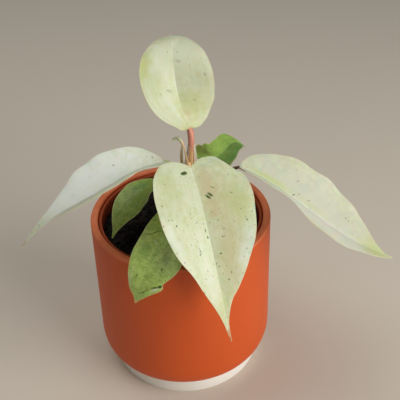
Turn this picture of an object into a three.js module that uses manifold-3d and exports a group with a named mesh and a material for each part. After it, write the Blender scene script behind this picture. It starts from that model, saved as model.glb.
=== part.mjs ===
// A potted snowdrift philodendron: a cylindrical glazed cover pot, a plastic grow pot filled with soil,
// and a young plant with seven leaves on stalks.
// Millimetres, +Z up. The origin is the middle of the cover pot's underside, and -Y is the front.

import * as THREE from "three";
import { mergeVertices } from "three/addons/utils/BufferGeometryUtils.js";
import Module from "manifold-3d";

const wasm = await Module();
wasm.setup();

// Driving dimensions
const GAP = 0.3;

const POT_RADIUS = 60;
const POT_HEIGHT = 118;
const POT_WALL = 5;
const POT_FLOOR = 8;
const POT_LIP = 1.5;
const POT_WELL_RADIUS = 44;
const POT_WELL = 22;
const POT_SIDES = 60;
const FOOT_RADIUS = 51.2;
const FOOT_HEIGHT = 12.5;
const FOOT_EDGE = 0.8;
const SHOULDER_HEIGHT = 28;
const SHOULDER_START = -76;
const SHOULDER_STEPS = 6;
const LIP_STEPS = 4;

const GROW_TOP_RADIUS = 54.5;
const GROW_BASE_RADIUS = 43;
const GROW_TOP = 116.4;
const GROW_WALL = 1.1;
const GROW_BEAD = 2;
const GROW_RIM = 5;
const GROW_STEP = 0.9;
const GROW_ROUND = 0.6;
const GROW_SIDES = 48;
const DRAIN_HOLES = 5;
const DRAIN_RADIUS = 4;
const DRAIN_RING = 24;
const DRAIN_SIDES = 12;

const SOIL_TOP = 107.5;
const SOIL_SWELL = 1.6;
const SOIL_LUMP = 0.7;
const SOIL_FINE = 3.2;
const SOIL_BROAD = 6;
const SOIL_RINGS = 6;

const BLADE_HALF_THICKNESS = 0.4;
const RIB_DEPTH = 1.7;
const RIB_REACH = 1.6;
const BLADE_ROWS = 18;
const BLADE_COLUMNS = [0, 0.08, 0.36, 0.7, 1];
const MIDRIB_STEPS = 60;
const WAVES_PER_BLADE = 4.5;
const NORMAL_REACH = 0.3;

const STALK_SIDES = 8;
const STALK_STEPS = 3;
const STALK_LEAD = 3;
const NEW_LEAF_STEPS = 9;
const BUD_SCALE_STEPS = 6;

// The stem's centre line, from down in the soil to the crown, and its radii
const STEM_PATH = [
  [4, 1, 80],
  [5, 2, 106],
  [6, 4, 126],
  [8, 6, 146],
];
const STEM_RADII = [4.4, 5.2, 5.4, 4.6];
const STEM_SIDES = 12;
const STEM_STEPS = 10;

const FINISHES = {
  glaze: { color: 0xc2542e, roughness: 0.45 },
  brownPlastic: { color: 0x8f4a30, roughness: 0.6 },
  soil: { color: 0x2b211b, roughness: 0.95 },
  stem: { color: 0x87864e, roughness: 0.6 },
  creamLeaf: { color: 0xe6e9cf, roughness: 0.5 },
  limeLeaf: { color: 0xa9b877, roughness: 0.5 },
  greenLeaf: { color: 0x6c9a44, roughness: 0.45 },
  pinkStalk: { color: 0xc9857c, roughness: 0.5 },
  tanStalk: { color: 0xb9a878, roughness: 0.5 },
  bud: { color: 0xe3cf9b, roughness: 0.5 },
  dryScale: { color: 0x8b7a4c, roughness: 0.7 },
};

// The leaves. A blade starts at base and its midrib runs length along azimuth (from +X, anticlockwise)
// and pitch (above the level), each a list of degrees spread evenly from the base to the tip.
// riseLeft and riseRight are the degrees by which each half stands up from the midrib, and curl bends
// each half back down towards its margin. left and right are the margins of the flat blade:
// [distance along the midrib, distance from it]. wave is the height of the margin's ripples.
const LEAVES = [
  {
    name: "front",
    finish: FINISHES.creamLeaf,
    base: [8, -21, 167],
    length: 112,
    azimuth: [-74, -75, -69, -63],
    pitch: [-22, -43, -61, -67],
    riseLeft: [10, 14, 16, 14, 10],
    riseRight: [14, 20, 22, 18, 12],
    curl: 8,
    wave: 0.7,
    left: [
      [0, 1.2], [-2.5, 3.5], [-4.5, 9], [-3, 16], [2, 20], [8, 24.5], [14, 30], [24, 31.5],
      [38, 30.6], [52, 27], [65, 20.5], [78, 12.5], [88, 5], [100, 1.2], [112, 0.4],
    ],
    right: [
      [0, 1.2], [-2.5, 4.5], [-4.5, 12], [-2.5, 19], [3, 23.5], [10, 27], [19, 29], [29, 29.5],
      [41, 28.5], [54, 24.5], [66, 17], [78, 11.5], [89, 6.2], [100, 2.6], [112, 0.4],
    ],
    stalk: {
      finish: FINISHES.pinkStalk,
      radii: [2.4, 1.7, 1.4],
      path: [[6.5, 2.5, 140], [7, -4, 148], [8, -13, 160]],
    },
  },
  {
    name: "left",
    finish: FINISHES.creamLeaf,
    base: [-9, -4, 161],
    length: 108,
    azimuth: [222, 213, 196, 205],
    pitch: [15, -12, -22, -47],
    riseLeft: [16, 37, 31, 20, 4],
    riseRight: [20, 20, 20, 20, 20],
    curl: 6,
    wave: 0.5,
    left: [
      [0, 1.2], [1, 3], [6, 8], [13, 15.5], [22, 20.5], [33, 21.5], [45, 21], [57, 17.8],
      [67, 14.5], [75, 9.5], [83, 4.2], [92, 3], [100, 1.6], [108, 0.4],
    ],
    right: [
      [0, 1.2], [0, 4], [3, 9.5], [9, 15.8], [19, 20.8], [32, 23.2], [46, 23.4], [58, 21],
      [67, 15.8], [75, 10.2], [83, 5.2], [91, 2.4], [99, 1], [108, 0.4],
    ],
    stalk: {
      finish: FINISHES.pinkStalk,
      radii: [2.4, 1.7, 1.4],
      path: [[4.5, 4, 131], [-1, 2.5, 142], [-4, 0, 154]],
    },
  },
  {
    name: "right",
    finish: FINISHES.creamLeaf,
    base: [39, -11, 160],
    length: 115,
    azimuth: [-24, -23, -13, -1],
    pitch: [-14, -32, -33, -25],
    riseLeft: [20, 20, 20, 20, 20],
    riseRight: [31, 37, 27, 21, 9],
    curl: 6,
    wave: 0.6,
    left: [
      [0, 1.2], [0, 5], [3, 11], [9, 16.5], [18, 22.2], [30, 26.2], [43, 28.2], [56, 28.8],
      [69, 27], [82, 22.5], [93, 16], [101, 7.5], [108, 2], [115, 0.4],
    ],
    right: [
      [0, 1.2], [2, 6], [7, 12], [13, 18.5], [21, 23.5], [31, 25], [43, 25.8], [55, 28.6],
      [67, 28], [80, 22.8], [91, 14.5], [100, 8.6], [108, 4], [115, 0.4],
    ],
    stalk: {
      finish: FINISHES.pinkStalk,
      radii: [2.4, 1.7, 1.5, 1.4],
      path: [[9, 4.5, 133], [15, 2, 146], [22, -3.5, 153], [30, -8, 157.5]],
    },
  },
  {
    name: "top",
    finish: FINISHES.creamLeaf,
    base: [8, 8, 178],
    length: 94,
    azimuth: [155, 112, 92, 93, 88],
    pitch: [64, 63, 36, -16, -56],
    riseLeft: [20, 20, 10, -8, -10],
    riseRight: [30, 28, 14, -6, -8],
    curl: 12,
    wave: 0.5,
    left: [
      [0, 1.2], [1, 5], [2, 9], [4, 13.5], [8, 17], [12, 20.5], [18, 23], [27, 23.2],
      [37, 22.2], [47, 19], [58, 13.4], [70, 8.6], [81, 4.6], [88, 2], [94, 0.4],
    ],
    right: [
      [0, 1.2], [-2, 3.5], [-3, 7.5], [-2, 12], [0, 17], [7, 21], [17, 23], [27, 24],
      [37, 23.6], [48, 20], [60, 13], [71, 8.6], [81, 4.6], [88, 2], [94, 0.4],
    ],
    stalk: {
      finish: FINISHES.pinkStalk,
      radii: [4.4, 4.2, 2.2, 1.8, 1.6],
      path: [[8.1, 6.1, 146.9], [8.8, 6.3, 155], [8.8, 6.6, 165]],
    },
  },
  {
    name: "back",
    finish: FINISHES.greenLeaf,
    base: [16, 16, 148],
    length: 44,
    azimuth: [23, 56, 28],
    pitch: [-10, 7, -52],
    riseLeft: [28, 28, 24],
    riseRight: [4, 2, 4],
    curl: 5,
    wave: 1,
    left: [
      [0, 1.2], [-4, 4], [-5, 9], [0, 12.5], [7, 13], [14, 11.8], [21, 10.3], [28, 10.6],
      [34, 7], [39, 3], [44, 0.4],
    ],
    right: [
      [0, 1.2], [-3, 4], [-4, 9], [0, 13], [6, 14.5], [12, 13.2], [20, 10], [29, 8.5],
      [37, 5.5], [44, 0.4],
    ],
    stalk: { finish: FINISHES.tanStalk, radii: [2.2, 1.5, 1.3], path: [[6.5, 6, 125], [12, 12, 137]] },
  },
  {
    name: "low_left",
    finish: FINISHES.limeLeaf,
    base: [-14, 9, 136],
    length: 51,
    azimuth: [215, 222, 232, 246],
    pitch: [4, -17, -36, -45],
    riseLeft: [18, 18, 14, 12, 10],
    riseRight: [18, 18, 14, 12, 10],
    curl: 8,
    wave: 0.2,
    left: [
      [0, 1.2], [2, 4.5], [7, 7], [13, 9.2], [19, 12.8], [26, 13], [32, 11], [38, 7], [45, 2.6], [51, 0.4],
    ],
    right: [
      [0, 1.2], [1, 4.5], [6, 7.5], [13, 10.3], [20, 11], [27, 10.3], [33, 8], [39, 5], [45, 2], [51, 0.4],
    ],
    stalk: { finish: FINISHES.tanStalk, radii: [2.2, 1.5, 1.3], path: [[4, 3, 118], [-4, 8, 130]] },
  },
  {
    name: "front_left",
    finish: FINISHES.limeLeaf,
    base: [-5, -16, 133],
    length: 72,
    azimuth: [-106, -108, -123, -149],
    pitch: [0, -16, -45, -70],
    riseLeft: [6, 6, 6, 4, 4],
    riseRight: [26, 24, 22, 18, 12],
    curl: 8,
    wave: 0.5,
    left: [
      [0, 1.2], [0, 6], [4, 12], [13, 17], [24, 19.4], [35, 20], [43, 20.2], [48, 18.4],
      [52.5, 15], [56, 15.4], [63, 8], [72, 0.4],
    ],
    right: [
      [0, 1.2], [2, 4], [7, 6.3], [15, 8.3], [25, 10.3], [34, 11.6], [43, 12.6], [51, 11.7],
      [60, 9.5], [65, 7.3], [68.5, 2.6], [72, 0.4],
    ],
    stalk: { finish: FINISHES.tanStalk, radii: [2.2, 1.5, 1.3], path: [[5, 1, 122], [-1, -7, 131]] },
  },
];

// The rolled new leaf beside the top stalk, and the narrow bud scale behind it
const NEW_LEAF = {
  path: [[7, 2.4, 151], [5, 1.8, 159], [3.7, 2.6, 166], [1.6, 4, 173]],
  radii: [1, 0.9, 0.7, 0.5],
};
const BUD_SCALE = {
  path: [[3, 9, 144], [2, 10, 154], [2.6, 10, 164]],
  radii: [1.2, 1, 0.5],
};

const radians = THREE.MathUtils.degToRad;
const vector = (p) => new THREE.Vector3(...p);

// A smooth track through evenly spread values
function track(values) {
  const curve = new THREE.SplineCurve(values.map((v, i) => new THREE.Vector2(i, v)));
  return (u) => curve.getPoint(THREE.MathUtils.clamp(u, 0, 1)).y;
}

// Solids and joins
function solid(geometry) {
  const bare = geometry.clone();
  bare.deleteAttribute("normal");
  bare.deleteAttribute("uv");
  const merged = mergeVertices(bare, 1e-4);
  return new wasm.Manifold(
    new wasm.Mesh({
      numProp: 3,
      vertProperties: new Float32Array(merged.attributes.position.array),
      triVerts: new Uint32Array(merged.index.array),
    }),
  );
}

function geometryOf(made) {
  const mesh = made.getMesh();
  const geometry = new THREE.BufferGeometry();
  geometry.setAttribute("position", new THREE.BufferAttribute(new Float32Array(mesh.vertProperties), 3));
  geometry.setIndex(new THREE.BufferAttribute(new Uint32Array(mesh.triVerts), 1));
  return geometry;
}

const group = new THREE.Group();

function addPiece(name, geometry, finish) {
  const material = new THREE.MeshStandardMaterial({ ...finish, metalness: 0, flatShading: true });
  const mesh = new THREE.Mesh(geometry, material);
  mesh.name = name;
  group.add(mesh);
}

// A turned shape about the Z axis, from [radius, height] points
function turned(points, sides) {
  const profile = points.map(([r, z]) => new THREE.Vector2(r, z));
  return new THREE.LatheGeometry(profile, sides).rotateX(Math.PI / 2);
}

// Points on a quarter of an ellipse, angles in degrees from +R towards +Z
function arc(centre, radii, from, to, steps) {
  return Array.from({ length: steps + 1 }, (_, i) => {
    const a = radians(from + ((to - from) * i) / steps);
    return [centre[0] + radii[0] * Math.cos(a), centre[1] + radii[1] * Math.sin(a)];
  });
}

// A tube with its own radius along a smooth path: a closed cylinder bent along the curve
function taperedTube(path, radii, sides, steps, swell = 0) {
  const curve = new THREE.CatmullRomCurve3(path.map(vector));
  const frames = curve.computeFrenetFrames(steps, false);
  const centres = curve.getSpacedPoints(steps);
  const radiusAt = track(radii);
  const geometry = new THREE.CylinderGeometry(1, 1, 1, sides, steps);
  const p = geometry.attributes.position;
  for (let i = 0; i < p.count; i++) {
    const u = p.getY(i) + 0.5;
    const k = Math.round(u * steps);
    const r = radiusAt(u) + swell;
    const at = centres[k]
      .clone()
      .addScaledVector(frames.normals[k], p.getZ(i) * r)
      .addScaledVector(frames.binormals[k], p.getX(i) * r);
    p.setXYZ(i, at.x, at.y, at.z);
  }
  return geometry;
}

// Cover pot: foot, rounded shoulder, straight wall and rolled lip, turned in one closed profile.
// Its inside narrows to a well over the foot.
function coverPot() {
  const inner = POT_RADIUS - POT_WALL;
  const shoulder = [POT_RADIUS - FOOT_RADIUS, SHOULDER_HEIGHT - FOOT_HEIGHT];
  const lipTop = POT_HEIGHT - POT_LIP;
  const profile = [
    [0, 0],
    [FOOT_RADIUS - FOOT_EDGE, 0],
    [FOOT_RADIUS, FOOT_EDGE],
    [FOOT_RADIUS, FOOT_HEIGHT],
    ...arc([FOOT_RADIUS, SHOULDER_HEIGHT], shoulder, SHOULDER_START, 0, SHOULDER_STEPS),
    ...arc([POT_RADIUS - POT_LIP, lipTop], [POT_LIP, POT_LIP], 0, 90, LIP_STEPS),
    ...arc([inner + POT_LIP, lipTop], [POT_LIP, POT_LIP], 90, 180, LIP_STEPS),
    [inner, POT_FLOOR + POT_WELL],
    [POT_WELL_RADIUS, POT_FLOOR],
    [0, POT_FLOOR],
  ];
  return turned(profile, POT_SIDES);
}

// Grow pot: a thin tapered plastic pot with a beaded rim and drain holes in its floor
function growPot() {
  const base = POT_FLOOR + GAP;
  const profile = [
    [0, base],
    [GROW_BASE_RADIUS, base],
    [GROW_TOP_RADIUS - GROW_STEP, GROW_TOP - GROW_RIM],
    [GROW_TOP_RADIUS, GROW_TOP - GROW_RIM + GROW_STEP],
    [GROW_TOP_RADIUS, GROW_TOP - GROW_ROUND],
    [GROW_TOP_RADIUS - GROW_ROUND, GROW_TOP],
    [GROW_TOP_RADIUS - GROW_BEAD, GROW_TOP],
    [GROW_TOP_RADIUS - GROW_BEAD, GROW_TOP - GROW_RIM],
    [GROW_BASE_RADIUS - GROW_WALL, base + GROW_WALL],
    [0, base + GROW_WALL],
  ];
  let body = solid(turned(profile, GROW_SIDES));
  for (let i = 0; i < DRAIN_HOLES; i++) {
    const a = (2 * Math.PI * i) / DRAIN_HOLES;
    const drill = new THREE.CylinderGeometry(DRAIN_RADIUS, DRAIN_RADIUS, 4 * GROW_WALL, DRAIN_SIDES);
    drill.rotateX(Math.PI / 2);
    drill.translate(DRAIN_RING * Math.cos(a), DRAIN_RING * Math.sin(a), base + GROW_WALL / 2);
    body = body.subtract(solid(drill));
  }
  return geometryOf(body);
}

// How far the soil's surface stands above SOIL_TOP: a low swell with small lumps
function soilRelief(x, y) {
  const r = Math.hypot(x, y) / GROW_TOP_RADIUS;
  const fine = Math.sin(x / SOIL_FINE) * Math.cos(y / SOIL_FINE);
  const broad = Math.sin((x + y) / SOIL_BROAD) * Math.sin((x - y) / SOIL_FINE);
  return (SOIL_SWELL + SOIL_LUMP * (fine + broad)) * (1 - r * r);
}

// Soil: fills the grow pot up to a lumpy surface, with sides that follow the grow pot's taper
function soil() {
  const floor = POT_FLOOR + GAP + GROW_WALL + GAP;
  const low = GROW_BASE_RADIUS - GROW_WALL - 1.5 * GAP;
  const rise = (SOIL_TOP - POT_FLOOR) / (GROW_TOP - GROW_RIM - POT_FLOOR);
  const high = THREE.MathUtils.lerp(low, GROW_TOP_RADIUS - GROW_BEAD - 1.5 * GAP, rise);
  const profile = [[0, floor], [low, floor]];
  for (let i = 0; i <= SOIL_RINGS; i++) profile.push([high * (1 - i / SOIL_RINGS), SOIL_TOP]);
  const geometry = turned(profile, GROW_SIDES);
  const p = geometry.attributes.position;
  for (let i = 0; i < p.count; i++) {
    const onTop = p.getZ(i) > SOIL_TOP - GAP;
    const atWall = Math.hypot(p.getX(i), p.getY(i)) > high - GAP;
    if (onTop && !atWall) p.setZ(i, SOIL_TOP + soilRelief(p.getX(i), p.getY(i)));
  }
  return geometry;
}

// A leaf's midrib as stations, each with its place and its ahead, left and up directions
function midribOf(leaf) {
  const azimuth = track(leaf.azimuth);
  const pitch = track(leaf.pitch);
  const step = leaf.length / MIDRIB_STEPS;
  const stations = [];
  for (let i = 0; i <= MIDRIB_STEPS; i++) {
    const a = radians(azimuth(i / MIDRIB_STEPS));
    const p = radians(pitch(i / MIDRIB_STEPS));
    const ahead = new THREE.Vector3(Math.cos(p) * Math.cos(a), Math.cos(p) * Math.sin(a), Math.sin(p));
    const up = new THREE.Vector3(-Math.sin(p) * Math.cos(a), -Math.sin(p) * Math.sin(a), Math.cos(p));
    const left = up.clone().cross(ahead);
    const last = stations[i - 1];
    const at = last
      ? last.at.clone().addScaledVector(last.ahead, step / 2).addScaledVector(ahead, step / 2)
      : vector(leaf.base);
    stations.push({ at, ahead, left, up });
  }
  return stations;
}

// Takes a point of the flat blade, x along the midrib and y to the left of it, to its place in space
function bladeSurface(leaf) {
  const stations = midribOf(leaf);
  const riseLeft = track(leaf.riseLeft);
  const riseRight = track(leaf.riseRight);
  const half = Math.max(...leaf.left.concat(leaf.right).map((p) => p[1]));
  const bend = -radians(leaf.curl) / half;
  return (x, y) => {
    const u = THREE.MathUtils.clamp(x / leaf.length, 0, 1);
    const k = Math.min(Math.floor(u * MIDRIB_STEPS), MIDRIB_STEPS - 1);
    const w = u * MIDRIB_STEPS - k;
    const mix = (key) => stations[k][key].clone().lerp(stations[k + 1][key], w);
    const side = y < 0 ? -1 : 1;
    const start = radians(side > 0 ? riseLeft(u) : riseRight(u));
    const end = start + bend * Math.abs(y);
    const across = (Math.sin(end) - Math.sin(start)) / bend;
    const ripple = Math.sin(2 * Math.PI * WAVES_PER_BLADE * u + side) * leaf.wave * (y / half) ** 2;
    const lift = -(Math.cos(end) - Math.cos(start)) / bend + ripple;
    return mix("at")
      .addScaledVector(mix("ahead"), Math.min(x, 0))
      .addScaledVector(mix("left"), side * across)
      .addScaledVector(mix("up"), lift);
  };
}

// The blade as a thin solid, split into triangles alike on both faces, with its midrib raised below
function blade(leaf) {
  const surface = bladeSurface(leaf);
  const leftMargin = outline(leaf.left);
  const rightMargin = outline(leaf.right);
  const middle = (leftMargin(0.5).x + rightMargin(0.5).x) / 2;
  const spread = Math.log(middle / leaf.length) / Math.log(0.5);
  const columns = [...BLADE_COLUMNS.slice(1).reverse().map((f) => -f), ...BLADE_COLUMNS];
  const top = [];
  const below = [];
  for (let r = 0; r <= BLADE_ROWS; r++) {
    const t = r / BLADE_ROWS;
    const along = leaf.length * t ** spread;
    for (const f of columns) {
      const edge = f < 0 ? rightMargin(t) : leftMargin(t);
      const x = along + (edge.x - along) * Math.abs(f);
      const y = edge.y * f;
      const at = surface(x, y);
      const ahead = surface(x + NORMAL_REACH, y).sub(surface(x - NORMAL_REACH, y));
      const left = surface(x, y + NORMAL_REACH).sub(surface(x, y - NORMAL_REACH));
      const normal = ahead.cross(left).normalize();
      const rib = RIB_DEPTH * (1 - t) * Math.exp(-((y / RIB_REACH) ** 2));
      top.push(at.clone().addScaledVector(normal, BLADE_HALF_THICKNESS));
      below.push(at.clone().addScaledVector(normal, -BLADE_HALF_THICKNESS - rib));
    }
  }
  return sheetSolid(top, below, BLADE_ROWS, columns.length - 1);
}

// A leaf's margin as a smooth curve from the base to the tip
function outline(points) {
  const curve = new THREE.SplineCurve(points.map(([x, y]) => new THREE.Vector2(x, y)));
  return (t) => curve.getPoint(t);
}

// Closes two like grids of points, rows by columns, into one body
function sheetSolid(top, below, rows, columns) {
  const wide = columns + 1;
  const index = [];
  const under = top.length;
  for (let r = 0; r < rows; r++) {
    for (let c = 0; c < columns; c++) {
      const a = r * wide + c;
      const b = a + 1;
      const d = a + wide;
      const e = d + 1;
      index.push(a, d, e, a, e, b);
      index.push(under + a, under + e, under + d, under + a, under + b, under + e);
    }
  }
  const rim = [];
  for (let r = 0; r < rows; r++) rim.push(r * wide);
  for (let c = 0; c < columns; c++) rim.push(rows * wide + c);
  for (let r = rows; r > 0; r--) rim.push(r * wide + columns);
  for (let c = columns; c > 0; c--) rim.push(c);
  rim.forEach((p, i) => {
    const q = rim[(i + 1) % rim.length];
    index.push(under + p, under + q, q, under + p, q, p);
  });
  const geometry = new THREE.BufferGeometry().setFromPoints(top.concat(below));
  geometry.setIndex(index);
  return geometry;
}

// The whole path of a leaf's stalk: it ends just short of the blade, in line with its midrib
function stalkPath(leaf) {
  const { at, ahead, up } = midribOf(leaf)[0];
  const end = at.clone().addScaledVector(ahead, -GAP).addScaledVector(up, -RIB_DEPTH / 2);
  const before = end.clone().addScaledVector(ahead, -STALK_LEAD);
  return [...leaf.stalk.path, before.toArray(), end.toArray()];
}

function stalk(leaf, swell = 0) {
  const path = stalkPath(leaf);
  return taperedTube(path, leaf.stalk.radii, STALK_SIDES, STALK_STEPS * (path.length - 1), swell);
}

function stem(swell = 0) {
  return taperedTube(STEM_PATH, STEM_RADII, STEM_SIDES, STEM_STEPS, swell);
}

function newLeaf(swell = 0) {
  return taperedTube(NEW_LEAF.path, NEW_LEAF.radii, STALK_SIDES, NEW_LEAF_STEPS, swell);
}

function budScale(swell = 0) {
  return taperedTube(BUD_SCALE.path, BUD_SCALE.radii, STALK_SIDES, BUD_SCALE_STEPS, swell);
}

// What grows out of a piece stands in a socket of its own shape, a gap wider all round
function socketed(body, guests) {
  return geometryOf(guests.reduce((rest, guest) => rest.subtract(solid(guest)), solid(body)));
}

// Assembly
const sideStalks = LEAVES.filter((leaf) => leaf.name !== "top").map((leaf) => stalk(leaf, GAP));

addPiece("pot", coverPot(), FINISHES.glaze);
addPiece("grow_pot", growPot(), FINISHES.brownPlastic);
addPiece("soil", socketed(soil(), [stem(GAP)]), FINISHES.soil);
addPiece("stem", socketed(stem(), [...sideStalks, budScale(GAP)]), FINISHES.stem);
for (const leaf of LEAVES) {
  const guests = leaf.name === "top" ? [newLeaf(GAP), budScale(GAP)] : [];
  addPiece(`stalk_${leaf.name}`, socketed(stalk(leaf), guests), leaf.stalk.finish);
  addPiece(`leaf_${leaf.name}`, blade(leaf), leaf.finish);
}
addPiece("new_leaf", newLeaf(), FINISHES.bud);
addPiece("bud_scale", budScale(), FINISHES.dryScale);

export default group;
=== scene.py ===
from math import atan2, cos, pi, radians, sin, tau

import bmesh
import bpy
import numpy as np
from mathutils import Matrix, Vector


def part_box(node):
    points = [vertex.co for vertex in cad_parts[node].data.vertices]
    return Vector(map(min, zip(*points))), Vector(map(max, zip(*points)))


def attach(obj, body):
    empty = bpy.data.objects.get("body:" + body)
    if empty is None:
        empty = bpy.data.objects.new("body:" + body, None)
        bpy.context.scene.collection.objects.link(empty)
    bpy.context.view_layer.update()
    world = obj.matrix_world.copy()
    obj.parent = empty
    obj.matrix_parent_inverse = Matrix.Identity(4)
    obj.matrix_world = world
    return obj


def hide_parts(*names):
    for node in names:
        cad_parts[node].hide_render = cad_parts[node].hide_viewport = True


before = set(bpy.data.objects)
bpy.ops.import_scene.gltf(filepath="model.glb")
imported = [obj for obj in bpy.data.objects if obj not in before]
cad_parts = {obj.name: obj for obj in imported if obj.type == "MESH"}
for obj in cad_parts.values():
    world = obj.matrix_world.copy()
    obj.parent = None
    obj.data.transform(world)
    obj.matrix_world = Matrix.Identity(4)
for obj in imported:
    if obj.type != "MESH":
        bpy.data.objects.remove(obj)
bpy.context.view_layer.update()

bl_info = {
    "name": "Potted snowdrift philodendron",
    "version": (1, 0, 0),
    "blender": (4, 5, 0),
    "location": "3D View > Sidebar > Plant",
    "description": "Builds a young snowdrift philodendron in soil, a grow pot and a glazed cover pot",
    "category": "Add Mesh",
}

MM = 0.001

# Millimetres in the unit of the leaves' flat UV map
DECIMETRE = 100

# Sizes in millimetres that more than one piece needs
POT_FLOOR = 8
GROW_CLEARANCE = 0.3
RIM_BEAD = 1.0
RIB_DEPTH = 1.7

# Side veins in relief on each half of a blade, and their angle to the midrib
SIDE_VEINS = 9
VEIN_ANGLE = radians(42)

# How far forward they sweep, as a share of the blade's length, and how the sweep grows towards the margin
VEIN_SWEEP = 0.1
VEIN_BEND = 1.5

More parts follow.
